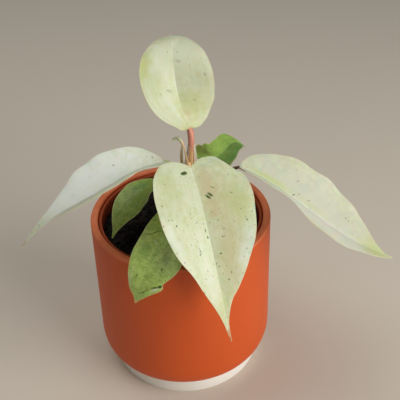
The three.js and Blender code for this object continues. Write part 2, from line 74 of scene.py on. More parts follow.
# The leaves, from the values of the solids with small trims, in millimetres and degrees.
# A blade starts at base, and its midrib runs length along azimuth (from +X, anticlockwise) and pitch (above
# the level), each given at places spread evenly from the base to the tip. Each half stands up from the midrib
# by rise_left or rise_right, and curl bends it back down towards its margin. wave is how high its ripples
# stand.
# left and right are the margins of the flat blade: distance along the midrib and distance from it.
# patches are soft areas of another tone, some painted shade and painted light, and marks are the larger dark
# flecks, each with its place along the midrib and to its left, its length, width and angle to the midrib,
# and how strong it is. specks is how many of the places for a small speck have one.
# stalk_tones are the stalk's colours below and above the given share of its length. run_in is how far before
# the blade's base the stalk turns to run along the midrib, 3 mm where it isn't given.
LEAVES = {
    "front": {
        "base": (8, -21, 167),
        "length": 112,
        "azimuth": (-74, -75, -69, -63),
        "pitch": (-22, -43, -61, -67),
        "rise_left": (10, 14, 16, 14, 10),
        "rise_right": (14, 20, 22, 18, 12),
        "curl": 8,
        "wave": 0.7,
        "left": (
            (0, 1.2), (-2.5, 3.5), (-4.5, 9), (-3, 16), (2, 20), (8, 24.5), (14, 30), (24, 31.5),
            (38, 30.6), (52, 27), (65, 20.5), (78, 12.5), (88, 5), (100, 1.2), (112, 0.4),
        ),
        "right": (
            (0, 1.2), (-2.5, 4.5), (-4.5, 12), (-2.5, 19), (3, 23.5), (10, 27), (19, 29), (29, 29.5),
            (41, 28.5), (54, 24.5), (66, 17), (78, 11.5), (89, 6.2), (100, 2.6), (112, 0.4),
        ),
        "stalk": ((6.5, 2.5, 140), (7, -4, 148), (8, -13, 160)),
        "radii": (2.4, 1.7, 1.4),
        "stalk_finish": "pink_stalk",
        "stalk_tones": ("pink", "amber", 0.7),
        "tone": "cream_leaf",
        "seed": 1.0,
        "specks": 0.42,
        "wash": {"Left wash": 0.4, "Right wash": 0.25, "Tip wash": 0.1, "Base wash": 0.1, "Mottle": 1.4},
        "patches": (
            ("warm", 18, 6, 48, 15, 0, 0.9),
            ("warm", 62, 9, 50, 14, -4, 0.35),
            ("warm", 40, 12, 110, 26, -6, 0.4),
            ("wash", 28, 22, 40, 17, 0, 0.75),
            ("wash", 14, -18, 30, 20, 0, 0.5),
            ("pale", 72, -5.4, 80, 12, 2, 0.25),
            ("pale", 46, -23.5, 36, 8, 18, 0.4),
            ("pale", 60, 20, 44, 13, -20, 0.45),
            ("wash", 92, -2, 26, 10, 0, 0.5),
            ("rust", 113, 0, 26, 10, 0, 1),
        ),
        "marks": (
            (5, -6, 5.4, 3.1, 105, 1), (22.8, 4.9, 5, 1.7, 40, 1), (21.7, 6.5, 5, 1.7, 40, 1),
            (17.6, 9, 4, 0.9, 50, 0.6), (23.8, 18.8, 2.2, 0.9, 55, 0.6), (41.2, 24.3, 1.5, 0.9, 20, 0.9),
            (39.4, 24, 1, 0.6, 20, 0.8), (38.3, 7.2, 1.3, 0.9, 0, 0.7), (48, 7.8, 1.4, 0.9, 60, 0.9),
            (57.5, 4.8, 1.5, 1.1, 90, 0.9), (65, 2.4, 1.3, 0.8, 30, 0.6), (73.7, 6.4, 1.7, 1.1, 0, 0.7),
            (25.5, -26, 1.3, 0.8, 0, 0.7), (37.7, -20.3, 1.5, 1.2, 0, 0.9), (37, -6.4, 2.2, 0.8, -35, 0.6),
            (42.3, -1.8, 2.6, 0.9, 10, 0.8), (46.8, -1.2, 2.4, 1.3, 0, 0.85), (53.5, -8.4, 4.6, 0.7, 10, 0.7),
            (55.6, -9, 1.4, 1, 0, 0.8), (77, -11.8, 2.2, 1.4, 60, 0.6), (32.5, 4.8, 0.9, 0.8, 0, 0.6),
        ),
    },
    "left": {
        "base": (-9, -4, 161),
        "length": 108,
        "azimuth": (222, 213, 196, 205),
        "pitch": (15, -12, -22, -47),
        "rise_left": (16, 37, 31, 20, 4),
        "rise_right": (20, 20, 20, 20, 20),
        "curl": 6,
        "wave": 0.5,
        "left": (
            (0, 1.2), (1, 3), (6, 8), (13, 15.5), (22, 20.5), (33, 21.5), (45, 21), (57, 17.8),
            (67, 14.5), (75, 9.7), (83, 5), (92, 3.6), (100, 2), (108, 0.4),
        ),
        "right": (
            (0, 1.2), (0, 4), (3, 9.5), (9, 15.8), (19, 20.8), (32, 23.2), (46, 23.4), (58, 21),
            (67, 15.8), (75, 10.3), (83, 5.8), (91, 3.1), (99, 1.5), (108, 0.4),
        ),
        "stalk": ((4.5, 4, 131), (-1, 2.5, 142), (-4, 0, 154)),
        "radii": (2.4, 1.7, 1.4),
        "stalk_finish": "pink_stalk",
        "stalk_tones": ("pink", "wash", 0.6),
        "tone": "cream_leaf",
        "seed": 2.0,
        "specks": 0.08,
        "wash": {
            "Left wash": 0.1, "Right wash": 0.0, "Tip wash": 0.1, "Base wash": 0.1,
            "Streaks": 0.6, "Mottle": 0.2,
        },
        "patches": (
            ("wash", 50, 11, 110, 20, 0, 0.9),
            ("pale", 56, -10, 170, 70, 0, 0.9),
            ("olive_and_shadow", 52, 7, 104, 14, 0, 0.35),
            ("cream", 96, 0, 40, 18, 0, 0.9),
            ("rust", 108, 0, 13, 6, 0, 0.5),
        ),
        "marks": (
            (5.5, -5.5, 2.6, 1.1, 80, 0.6), (9.3, -7, 1.8, 0.8, 80, 0.45), (31.7, -10.6, 2.4, 1, -10, 0.6),
            (49, -12, 1, 0.8, 0, 0.6), (20.5, -13, 2, 0.9, 40, 0.3), (64, -6, 1.2, 0.7, 30, 0.4),
        ),
    },
    "right": {
        "base": (39, -11, 160),
        "length": 115,
        "azimuth": (-24, -23, -13, -1),
        "pitch": (-14, -32, -33, -25),
        "rise_left": (20, 20, 20, 20, 20),
        "rise_right": (31, 37, 27, 21, 9),
        "curl": 6,
        "wave": 0.6,
        "left": (
            (0, 1.2), (0, 5), (3, 11), (9, 16.5), (18, 22.2), (30, 26.2), (43, 28.2), (56, 28.8),
            (69, 27), (82, 22.5), (93, 16), (101, 7.5), (108, 2), (115, 0.4),
        ),
        "right": (
            (0, 1.2), (2, 6), (7, 12), (13, 18.5), (21, 23.5), (31, 25), (43, 25.8), (55, 28.6),
            (67, 28), (80, 22.8), (91, 14.5), (100, 8.6), (108, 4), (115, 0.4),
        ),
        "stalk": ((9, 4.5, 133), (15, 2, 145), (22, -3.5, 150.5), (30, -8, 154.4)),
        "radii": (2.4, 1.7, 1.3, 1.1),
        "run_in": 0.5,
        "stalk_finish": "pink_stalk",
        "stalk_tones": ("blush", "brown", 0.66),
        "tone": "cream_leaf",
        "seed": 3.0,
        "specks": 0.08,
        "wash": {"Left wash": 0.12, "Right wash": 0.0, "Tip wash": 0.4, "Base wash": 0.1, "Mottle": 0.6},
        "patches": (
            # This patch over the whole blade is a greyer tone and painted shade
            ("grey_and_shade", 56, 4, 170, 70, 0, 0.8),
            # Painted light on the half that faces away from the key light
            ("pale", 58, -14, 104, 34, 0, 0.4),
            # Painted light over the midrib's shaded crease
            ("pale", 70, -1.6, 76, 5, 0, 0.7),
            ("wash", 20, 1, 44, 9, 0, 0.9),
            ("wash", 103, -3, 36, 32, 0, 0.9),
            ("wash", 52, 3, 36, 7, 0, 0.35),
        ),
        "marks": (
            (38, 1.8, 1.9, 1.2, 60, 0.85), (40.5, 4.5, 1.8, 0.8, 80, 0.55), (48, 5.3, 2.8, 1.3, 40, 0.4),
            (35.5, 12, 3, 1.1, 70, 0.35), (76, 11.5, 1.6, 1, 60, 0.7), (78, 11, 1, 0.8, 0, 0.7),
            (84, 3.5, 1.5, 0.8, 30, 0.35),
        ),
    },
    "top": {
        "base": (8, 8, 178),
        "length": 94,
        "azimuth": (155, 112, 92, 93, 88),
        "pitch": (64, 63, 36, -16, -56),
        "rise_left": (20, 20, 10, -8, -10),
        "rise_right": (30, 28, 14, -6, -8),
        "curl": 12,
        "wave": 0.5,
        "left": (
            (0, 1.2), (1, 5), (2, 9), (4, 13.5), (8, 17), (12, 20.5), (18, 23), (27, 23.2),
            (37, 22.2), (47, 19), (58, 13.4), (70, 8.6), (81, 4.6), (88, 2), (94, 0.4),
        ),
        "right": (
            (0, 1.2), (-2, 3.5), (-3, 7.5), (-2, 12), (0, 17), (7, 21), (17, 23), (27, 24),
            (37, 23.6), (48, 20), (60, 13), (71, 8.6), (81, 4.6), (88, 2), (94, 0.4),
        ),
        "stalk": ((7.6, 4.6, 146.5), (8.2, 4.9, 155), (8.8, 6.4, 165)),
        "radii": (3, 2.7, 2.3, 2.1),
        "stalk_finish": "pink_stalk",
        "stalk_tones": ("amber", "pink", 0.5),
        "tone": "cream_leaf",
        "seed": 4.0,
        "specks": 0.06,
        "wash": {"Left wash": 0.15, "Right wash": 0.05, "Tip wash": 0.0, "Base wash": 0.9, "Mottle": 1.0},
        "patches": (
            ("wash", 42, 18, 30, 12, -8, 1.0),
            ("lime", 40, 21, 24, 6, -14, 0.3),
            ("wash", 31, 12, 22, 9, -20, 0.5),
            ("pale", 11, 6, 26, 6, 14, 0.5),
            ("pale", 42, 7, 50, 16, 0, 0.2),
            ("wash", 12, -6, 36, 34, 0, 0.8),
            ("warm", 7, -2.5, 20, 7, 0, 0.6),
        ),
        "marks": (
            (25.5, 6, 4.6, 2.2, 60, 0.3), (24.5, 12.5, 2.2, 1.4, 30, 0.2), (43, -3.5, 4, 2.4, 60, 0.25),
            (16.5, -9.5, 3, 1.6, 40, 0.22), (32, -19, 3, 2, 30, 0.25),
        ),
    },
    "back": {
        "base": (16, 16, 148),
        "length": 44,
        "azimuth": (23, 56, 28),
        "pitch": (-10, 7, -52),
        "rise_left": (28, 28, 24),
        "rise_right": (4, 2, 4),
        "curl": 5,
        "wave": 1,
        "left": (
            (0, 1.2), (-4, 4), (-5, 9), (0, 12.5), (7, 13), (14, 11.8), (21, 10.3), (28, 10.6),
            (34, 7), (39, 3), (44, 0.4),
        ),
        "right": (
            (0, 1.2), (-3, 4), (-4, 9), (0, 13), (6, 14.5), (12, 13.2), (20, 10), (29, 8.5),
            (37, 5.5), (44, 0.4),
        ),
        "stalk": ((6.5, 6, 125), (12, 12, 137)),
        "radii": (2.2, 1.5, 1.3),
        "stalk_finish": "tan_stalk",
        "stalk_tones": ("tan", "tan", 0.5),
        "tone": "green_leaf",
        "seed": 5.0,
        "specks": 0.04,
        "wash": {"Left wash": 0.25, "Right wash": 0.6, "Tip wash": 0.2, "Base wash": 0.2, "Mottle": 0.6},
        "patches": (
            # This patch is painted shadow over the base of the blade
            ("olive_and_shadow", 2, 9, 24, 18, 0, 0.75),
            ("deep", 20, -10, 34, 14, 0, 0.75),
        ),
        "marks": (),
    },
    "low_left": {
        "base": (-14, 9, 136),
        "length": 51,
        "azimuth": (215, 222, 232, 246),
        "pitch": (4, -17, -36, -45),
        "rise_left": (18, 18, 14, 12, 10),
        "rise_right": (18, 18, 14, 12, 10),
        "curl": 8,
        "wave": 0.2,
        "left": (
            (0, 1.2), (2, 4.5), (7, 7), (13, 9.2), (19, 12.8), (26, 13), (32, 11), (38, 7),
            (45, 2.6), (51, 0.4),
        ),
        "right": (
            (0, 1.2), (1, 4.5), (6, 7.5), (13, 10.3), (20, 11), (27, 10.3), (33, 8), (39, 5),
            (45, 2), (51, 0.4),
        ),
        "stalk": ((4, 3, 118), (-4, 8, 130)),
        "radii": (2.2, 1.5, 1.3),
        "stalk_finish": "tan_stalk",
        "stalk_tones": ("tan", "lime", 0.5),
        "tone": "lime_leaf",
        "seed": 6.0,
        "specks": 0.1,
        "wash": {
            "Left wash": 1.0, "Right wash": 0.9, "Tip wash": -0.2, "Base wash": 0.3,
            "Streaks": 0.5, "Mottle": 1.8,
        },
        "patches": (
            ("deep", 12, -4, 18, 9, 0, 0.6),
            ("olive_and_shadow", 28, 1, 50, 26, 0, 0.2),
        ),
        "marks": ((33, 5, 1.4, 0.9, 0, 0.7), (30, -9, 1.4, 1, 0, 0.5), (21, 3, 1.6, 0.9, 30, 0.4)),
    },
    "front_left": {
        "base": (-5, -16, 133),
        "length": 72,
        "azimuth": (-106, -108, -123, -149),
        "pitch": (0, -16, -45, -70),
        "rise_left": (6, 6, 6, 4, 4),
        "rise_right": (26, 24, 22, 18, 12),
        "curl": 8,
        "wave": 0.5,
        "left": (
            (0, 1.2), (0, 6), (4, 12), (13, 17), (24, 19.4), (35, 20), (43, 20.2), (48, 18.4),
            (52.5, 15), (56, 15.4), (63, 8), (72, 0.4),
        ),
        "right": (
            (0, 1.2), (2, 4), (7, 6.3), (15, 8.3), (25, 10.3), (34, 11.6), (43, 12.6), (51, 11.7),
            (60, 9.5), (65, 7.3), (68.5, 2.6), (72, 0.4),
        ),
        "stalk": ((5, 1, 122), (-1, -7, 131)),
        "radii": (2.2, 1.5, 1.3),
        "stalk_finish": "tan_stalk",
        "stalk_tones": ("tan", "lime", 0.5),
        "tone": "lime_leaf",
        "seed": 7.0,
        "specks": 0.14,
        "wash": {
            "Left wash": 0.4, "Right wash": 0.3, "Tip wash": -0.2, "Base wash": 0.4,
            "Streaks": 0.4, "Mottle": 2.0,
        },
        "patches": (
            # These two deep patches are painted shadow that the front leaf casts on this blade
            ("deep", 22, -5, 9, 18, 25, 0.3),
            ("deep", 38, -5, 12, 9, 0, 0.4),
            ("olive_and_shadow", 40, 9, 26, 12, 0, 0.4),
            ("pale", 31, -1, 9, 2, 60, 0.3),
            ("pale", 60, -8, 30, 5, 4, 0.2),
            ("pale", 57.4, 11.2, 9, 2, -56, 0.5),
            ("amber", 71, 0.5, 4, 4, 0, 0.8),
        ),
        "marks": (
            (54.5, -4.5, 3, 0.9, -20, 0.7), (46, 10, 1.8, 1.5, 0, 0.9), (33, 2, 1.2, 0.9, 0, 0.4),
            (63.4, 2.3, 5.4, 0.8, -55, 0.6), (61.9, 4.4, 2.6, 1.1, -50, 0.9), (59.8, 6.2, 5.6, 0.8, -39, 0.7),
            (56.2, 10.7, 6.6, 1.1, -64, 0.9), (54.5, 13.6, 3.4, 1.7, -60, 1), (53.2, 15.4, 2.8, 1, -55, 0.9),
            (27.9, -7.2, 6, 1, -75, 0.6), (24.7, -3.1, 8.4, 0.9, -45, 0.7), (16.2, -6.5, 4, 0.9, -50, 0.5),
            (69, 1.5, 1.2, 0.8, 0, 0.6),
        ),
    },
}


def colour(red, green, blue):
    """A colour given in the 0 to 255 steps of a screen, as Blender's own linear values."""
    steps = [value / 255 for value in (red, green, blue)]
    return tuple(v / 12.92 if v <= 0.04045 else ((v + 0.055) / 1.055) ** 2.4 for v in steps)


def length_property(name, description, default):
    return bpy.props.FloatProperty(
        name=name, description=description, default=default, unit="LENGTH", precision=4
    )


def power_property(name, description, default):
    return bpy.props.FloatProperty(name=name, description=description, default=default, unit="POWER")


def colour_property(name, description, steps):
    return bpy.props.FloatVectorProperty(
        name=name, description=description, default=colour(*steps), subtype="COLOR", min=0, max=1
    )


class PotSettings(bpy.types.PropertyGroup):
    """Sizes and colours of the cover pot."""

    radius: length_property("Radius", "Outer radius of the wall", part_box("pot")[1].x)
    height: length_property("Height", "From the foot to the top of the lip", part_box("pot")[1].z)
    wall: length_property("Wall", "Thickness of the wall and lip", 5 * MM)
    foot_radius: length_property("Foot radius", "Radius of the bare foot", 51.2 * MM)
    foot_height: length_property("Foot height", "Height of the bare foot", 12.5 * MM)
    shoulder_height: length_property("Shoulder height", "Where the rounded shoulder meets the wall", 28 * MM)
    glaze: colour_property("Glaze", "Colour of the glaze", (219, 89, 20))
    glaze_deep: colour_property("Deep glaze", "Where the glaze lies thicker", (212, 81, 14))
    # The paler colour over the lip is thinner glaze and a painted highlight on the rim
    glaze_thin_and_highlight: colour_property("Thin glaze", "Where the glaze thins over the lip", (240, 138, 92))
    clay: colour_property("Clay", "Colour of the bare foot", (254, 253, 247))


class GrowPotSettings(bpy.types.PropertyGroup):
    """Sizes and colour of the plastic pot that holds the soil."""

    top_radius: length_property("Top radius", "Outer radius of the rim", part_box("grow_pot")[1].x)
    base_radius: length_property("Base radius", "Outer radius of the base", 43 * MM)
    top: length_property("Top", "Height of the rim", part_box("grow_pot")[1].z)
    wall: length_property("Wall", "Thickness of the plastic", 1.1 * MM)
    rim: length_property("Rim", "Depth of the rim's band", 5 * MM)
    # The plastic is paler over its rim band and darker below it, inside the pot
    plastic: colour_property("Plastic", "Colour of the plastic, damp inside", (108, 40, 20))
    plastic_rim: colour_property("Dry plastic", "Colour of the dry rim", (164, 74, 40))


class SoilSettings(bpy.types.PropertyGroup):
    """How the potting mix looks."""

    crumbs: bpy.props.IntProperty(name="Crumbs", description="Number of loose crumbs", default=2600, min=0)
    chips: bpy.props.IntProperty(name="Bark chips", description="Number of bark chips", default=130, min=0)
    fibres: bpy.props.IntProperty(name="Fibres", description="Number of loose fibres", default=60, min=0)
    seed: bpy.props.IntProperty(name="Seed", description="Changes where the crumbs lie", default=7)
    peat: colour_property("Peat", "Colour of the fine mix", (14, 10, 7))
    bark: colour_property("Bark", "Colour of the bark chips", (34, 24, 17))


class PlantSettings(bpy.types.PropertyGroup):
    """Sizes and colours of the leaves, stalks and new growth."""

    blade: length_property("Blade", "Thickness of a leaf blade", 0.55 * MM)
    vein_depth: length_property("Vein depth", "How far the side veins are sunk", 0.07 * MM)
    # Pale is also painted light on the right leaf's lower half and along its midrib
    pale: colour_property("Pale", "Whitest parts of the cream leaves", (244, 248, 240))
    cream: colour_property("Cream", "Ground of the cream leaves", (223, 229, 198))
    wash: colour_property("Wash", "Yellow-green wash on the cream leaves", (202, 210, 148))
    # This tone also darkens the whole right leaf as painted shade
    grey_and_shade: colour_property("Grey", "Greyer parts of the cream leaves", (206, 207, 190))
    warm: colour_property("Warm", "Beige parts of the cream leaves", (210, 198, 154))
    lime: colour_property("Lime", "Ground of the yellow-green leaves", (196, 222, 120))
    lime_wash: colour_property("Lime wash", "Darker wash on the yellow-green leaves", (140, 168, 68))
    green: colour_property("Green", "Ground of the green leaf", (176, 214, 100))
    green_wash: colour_property("Green wash", "Darker wash on the green leaf", (110, 146, 66))
    # This tone is also painted shadow at the top of the front-left leaf
    deep: colour_property("Deep green", "Dark green patches", (88, 142, 58))
    # This tone is also painted shadow at the base of the back leaf
    olive_and_shadow: colour_property("Olive", "Brownish green patches", (100, 98, 28))
    speck: colour_property("Specks", "Small dark specks", (70, 96, 30))
    margin: colour_property("Margin", "Thin line round the blade", (240, 222, 178))
    rust: colour_property("Rust", "Dry tips", (214, 124, 62))
    underside: colour_property("Underside", "Pale cast of the underside", (214, 219, 190))
    pink: colour_property("Pink", "Pink parts of the stalks", (236, 162, 138))
    blush: colour_property("Blush", "Pale pink parts of the stalks", (214, 168, 146))
    amber: colour_property("Amber", "Yellow-brown parts of the stalks", (246, 202, 142))
    brown: colour_property("Brown", "Dark joints of the stalks", (96, 72, 44))
    tan: colour_property("Tan", "Tan parts of the stalks", (186, 170, 122))
    stem: colour_property("Stem", "Colour of the stem", (140, 138, 84))
    bud: colour_property("New leaf", "Colour of the rolled new leaf", (250, 228, 182))
    scale: colour_property("Bud scale", "Colour of the dry bud scale", (238, 224, 176))


class StageSettings(bpy.types.PropertyGroup):
    """Floor and lights round the plant."""

    floor: colour_property("Floor", "Colour of the plain floor", (221, 211, 196))
    key: power_property("Key light", "Power of the key light", 9.6)
    fill: power_property("Fill light", "Power of the fill light", 6.2)
    sky: bpy.props.FloatProperty(name="Sky", description="Light from all sides", default=0.13, min=0)


# Curves

def spline(values, t):
    """A smooth curve through evenly spread values, at each t from 0 to 1."""
    values = np.asarray(values, float)
    last = len(values) - 1
    place = np.clip(np.asarray(t, float), 0, 1) * last
    k = np.minimum(np.floor(place).astype(int), last - 1)
    w = place - k
    if values.ndim > 1:
        w = w[..., None]
    before, a, b, after = (values[np.clip(k + step, 0, last)] for step in (-1, 0, 1, 2))
    slope_a, slope_b = (b - before) / 2, (after - a) / 2
    cubic = 2 * a - 2 * b + slope_a + slope_b
    square = 3 * b - 3 * a - 2 * slope_a - slope_b
    return cubic * w**3 + square * w**2 + slope_a * w + a


def even_line(path, count):
    """Evenly spaced places along a smooth path, in millimetres."""
    fine = spline(path, np.linspace(0, 1, 40 * count))
    travelled = np.concatenate([[0], np.cumsum(np.linalg.norm(np.diff(fine, axis=0), axis=1))])
    wanted = np.linspace(0, travelled[-1], count)
    return np.stack([np.interp(wanted, travelled, fine[:, axis]) for axis in range(3)], 1)


def unit(vectors):
    return vectors / np.linalg.norm(vectors, axis=-1, keepdims=True)


def directions(places, facing):
    """The direction square to a line that is nearest to facing at its end, and the one square to both."""
    along = unit(np.gradient(places, axis=0))
    front = np.empty_like(places)
    carried = np.asarray(facing, float)
    for k in range(len(places) - 1, -1, -1):
        carried = unit(carried - along[k] * (carried @ along[k]))
        front[k] = carried
    return front, np.cross(along, front)


def arc(centre, radii, start, end, steps):
    """Points on part of an ellipse, angles in degrees from the radius towards the height."""
    angles = np.radians(np.linspace(start, end, steps + 1))
    return [(centre[0] + radii[0] * cos(a), centre[1] + radii[1] * sin(a)) for a in angles]


# Mesh helpers

def deselect():
    if bpy.context.mode != "OBJECT":
        bpy.ops.object.mode_set(mode="OBJECT")
    bpy.ops.object.select_all(action="DESELECT")


def active(name):
    """The object that an operator has just added, under its own name."""
    obj = bpy.context.view_layer.objects.active
    obj.name = name
    obj.data.name = name
    return obj


def coordinates(obj):
    values = np.empty(len(obj.data.vertices) * 3)
    obj.data.vertices.foreach_get("co", values)
    return values.reshape(-1, 3)


def put(obj, places):
    obj.data.vertices.foreach_set("co", np.ascontiguousarray(places, dtype=float).ravel())
    obj.data.update()


def select_only(obj):
    deselect()
    obj.select_set(True)
    bpy.context.view_layer.objects.active = obj


def apply_modifiers(obj):
    select_only(obj)
    for modifier in list(obj.modifiers):
        bpy.ops.object.modifier_apply(modifier=modifier.name)


def roughen(obj, size, strength, group=""):
    """Moves a surface in and out by soft clouds of the given size."""
    texture = bpy.data.textures.new(obj.name + "_clouds", "CLOUDS")
    texture.noise_scale = size
    modifier = obj.modifiers.new("roughen", "DISPLACE")
    modifier.texture = texture
    modifier.strength = strength
    modifier.texture_coords = "LOCAL"
    modifier.vertex_group = group
    apply_modifiers(obj)


def thicken(obj, thickness, offset=0, group=""):
    """Gives a sheet its thickness: half on each side, or all behind it with an offset of -1."""
    modifier = obj.modifiers.new("thickness", "SOLIDIFY")
    modifier.thickness = thickness
    modifier.offset = offset
    modifier.vertex_group = group
    apply_modifiers(obj)


def smooth(obj, angle):
    select_only(obj)
    bpy.ops.object.shade_smooth_by_angle(angle=radians(angle))


def finish_piece(obj, node, materials):
    """Gives a piece its materials and its place in the frame."""
    for material in materials:
        obj.data.materials.append(material)
    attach(obj, "root")
    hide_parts(node)
    return obj


def spun(name, profile, steps):
    """A closed turned shape from points of radius and height that start and end on the axis."""
    deselect()
    bpy.ops.mesh.primitive_plane_add(size=MM)
    obj = active(name)
    bpy.ops.object.mode_set(mode="EDIT")
    bpy.ops.mesh.select_all(action="SELECT")
    bpy.ops.mesh.merge(type="CENTER")
    radius, height = profile[0]
    bpy.ops.transform.translate(value=(radius * MM, 0, height * MM))
    for (r0, z0), (r1, z1) in zip(profile, profile[1:]):
        move = ((r1 - r0) * MM, 0, (z1 - z0) * MM)
        bpy.ops.mesh.extrude_vertices_move(TRANSFORM_OT_translate={"value": move})
    bpy.ops.mesh.select_all(action="SELECT")
    bpy.ops.mesh.spin(steps=steps, angle=tau, center=(0, 0, 0), axis=(0, 0, 1))
    bpy.ops.mesh.select_all(action="SELECT")
    bpy.ops.mesh.remove_doubles(threshold=0.01 * MM)
    bpy.ops.mesh.normals_make_consistent(inside=False)
    bpy.ops.object.mode_set(mode="OBJECT")
    return obj


def sheet(name, columns, rows):
    """A flat grid to be bent into shape, and its points, which run from -1 to 1 both ways."""
    deselect()
    bpy.ops.mesh.primitive_grid_add(x_subdivisions=columns, y_subdivisions=rows, size=2)
    obj = active(name)
    return obj, coordinates(obj)


def bar(name, sides, steps):
    """A round bar of unit size with rings along it, ready to be bent along a path."""
    deselect()
    bpy.ops.mesh.primitive_cylinder_add(vertices=sides, radius=1, depth=1, end_fill_type="TRIFAN")
    obj = active(name)
    bpy.ops.object.mode_set(mode="EDIT")
    bpy.ops.mesh.select_mode(type="EDGE")
    bpy.ops.mesh.select_all(action="DESELECT")
    mesh = bmesh.from_edit_mesh(obj.data)
    for edge in mesh.edges:
        edge.select = abs(edge.verts[0].co.z - edge.verts[1].co.z) > 0.5
    bmesh.update_edit_mesh(obj.data)
    bpy.ops.mesh.subdivide(number_cuts=steps - 1)
    bpy.ops.object.mode_set(mode="OBJECT")
    return obj


def bent_bar(name, path, radius_at, sides, steps, facing):
    """A bar along a path in millimetres. radius_at takes how far along and the angle from facing."""
    obj = bar(name, sides, steps)
    flat = coordinates(obj)
    along = flat[:, 2] + 0.5
    angle = np.arctan2(flat[:, 1], flat[:, 0])
    filled = np.hypot(flat[:, 0], flat[:, 1])
    k = np.rint(along * steps).astype(int)
    places = even_line(path, steps + 1)
    front, side = directions(places, facing)
    radius = (radius_at(along, angle) * filled)[:, None]
    across = front[k] * np.cos(angle)[:, None] + side[k] * np.sin(angle)[:, None]
    put(obj, (places[k] + across * radius) * MM)
    write_uv(obj, "tube", angle / tau + 0.5, along)
    return obj


def write_uv(obj, name, u, v):
    """Writes one value pair for each vertex to a UV map."""
    mesh = obj.data
    layer = mesh.uv_layers.get(name) or mesh.uv_layers.new(name=name)
    corners = np.empty(len(mesh.loops), int)
    mesh.loops.foreach_get("vertex_index", corners)
    layer.data.foreach_set("uv", np.stack([u[corners], v[corners]], 1).astype(np.float32).ravel())


def write_value(obj, name, values):
    """Writes one number for each vertex to an attribute."""
    attribute = obj.data.attributes.new(name, "FLOAT", "POINT")
    attribute.data.foreach_set("value", np.asarray(values, np.float32))


# Shader helpers

def add(tree, kind, sockets=None, **settings):
    """Adds a node. sockets gives its inputs by name or number, each a value or another node's output."""
    made = tree.nodes.new("ShaderNode" + kind)
    for key, value in settings.items():
        setattr(made, key, value)
    for key, value in (sockets or {}).items():
        if isinstance(value, bpy.types.NodeSocket):
            tree.links.new(value, made.inputs[key])
        else:
            made.inputs[key].default_value = value
    return made


def calc(tree, operation, a, b=0.0, clamp=False):
    return add(tree, "Math", {0: a, 1: b}, operation=operation, use_clamp=clamp).outputs[0]


def times(tree, a, b):
    return calc(tree, "MULTIPLY", a, b)


def centred(tree, value):
    """A value from 0 to 1 as one from -0.5 to 0.5."""
    return calc(tree, "SUBTRACT", value, 0.5)


def ranged(tree, value, low, reach):
    """A value from 0 to 1 as one from low to low + reach."""
    return calc(tree, "ADD", times(tree, value, reach), low)


def axes(tree, vector):
    return add(tree, "SeparateXYZ", {0: vector}).outputs


def joined(tree, x, y, z=0.0):
    return add(tree, "CombineXYZ", {"X": x, "Y": y, "Z": z}).outputs[0]


def opaque(value):
    """A plain colour with its alpha; anything else as it is."""
    plain = not isinstance(value, bpy.types.NodeSocket) and len(value) == 3
    return (*value, 1) if plain else value


def mixed(tree, factor, a, b, blend="MIX"):
    sockets = {0: factor, 6: opaque(a), 7: opaque(b)}
    return add(tree, "Mix", sockets, data_type="RGBA", blend_type=blend).outputs[2]


def over(tree, shade, tone, mask, amount):
    """One tone over another, where a mask shows it and as strong as amount."""
    return mixed(tree, times(tree, mask, amount), shade, tone)


def fade(tree, value, low, high):
    """0 below low and 1 above high, with a soft step between; the other way round if low is above high."""
    sockets = {"Value": value, "From Min": low, "From Max": high}
    return add(tree, "MapRange", sockets, interpolation_type="SMOOTHSTEP").outputs["Result"]


def noise(tree, vector, scale, detail=2.0, seed=None):
    """Soft clouds from 0 to 1, which a seed makes different."""
    sockets = {"Vector": vector, "Scale": scale, "Detail": detail}
    if seed is None:
        return add(tree, "TexNoise", sockets).outputs["Fac"]
    return add(tree, "TexNoise", {**sockets, "W": seed}, noise_dimensions="4D").outputs["Fac"]


def dots(tree, vector, scale, edge, core):
    """Dots spread at random: 0 outside their edge and 1 inside their core."""
    cells = add(tree, "TexVoronoi", {"Vector": vector, "Scale": scale}).outputs
    return fade(tree, cells["Distance"], edge, core)


def new_group(name, inputs, outputs):
    """An empty shader group with its sockets. inputs gives each name its kind and default value."""
    tree = bpy.data.node_groups.new(name, "ShaderNodeTree")
    for socket, (kind, default) in inputs.items():
        made = tree.interface.new_socket(socket, in_out="INPUT", socket_type="NodeSocket" + kind)
        made.default_value = default
    for socket, kind in outputs.items():
        tree.interface.new_socket(socket, in_out="OUTPUT", socket_type="NodeSocket" + kind)
    return tree, tree.nodes.new("NodeGroupInput").outputs, tree.nodes.new("NodeGroupOutput").inputs


def placed(tree, name, sockets):
    """A shader group that is already built, placed in a material."""
    return add(tree, "Group", sockets, node_tree=bpy.data.node_groups[name]).outputs


def new_material(name, constants):
    """A material with a plain Principled shader. constants gives some of its sockets their values."""
    material = bpy.data.materials.new(name)
    material.use_nodes = True
    shader = material.node_tree.nodes["Principled BSDF"]
    for key, value in constants.items():
        shader.inputs[key].default_value = value
    return material, material.node_tree, shader.inputs


def object_place(tree):
    return add(tree, "TexCoord").outputs["Object"]


def uv_place(tree, name):
    return add(tree, "UVMap", uv_map=name).outputs[0]


def attribute(tree, name):
    return add(tree, "Attribute", attribute_name=name).outputs["Fac"]


def bump(tree, height, distance, strength=1.0):
    return add(tree, "Bump", {"Height": height, "Distance": distance, "Strength": strength}).outputs["Normal"]


def dress(tree, shader, shade, normal=None, roughness=None):
    """Connects a finish's colour and, where it has them, its normal and roughness."""
    for socket, value in (("Base Color", shade), ("Normal", normal), ("Roughness", roughness)):
        if value is not None:
            tree.links.new(value, shader[socket])


# Shader groups that several finishes use

WHITE = (1, 1, 1, 1)

# Where the wash of the tip and of the base begins and is full, as shares of the blade's length
TIP_ZONE = (0.62, 0.95)
BASE_ZONE = (0.3, 0.02)

# How strongly soft clouds vary the wash
CLOUD_WASH = 1.4

# How much longer than wide a speck is, and how ragged the edges of specks and spots are
SPECK_STRETCH = 1.9
SPECK_RAGGED = 0.012
SPOT_RAGGED = 1.1


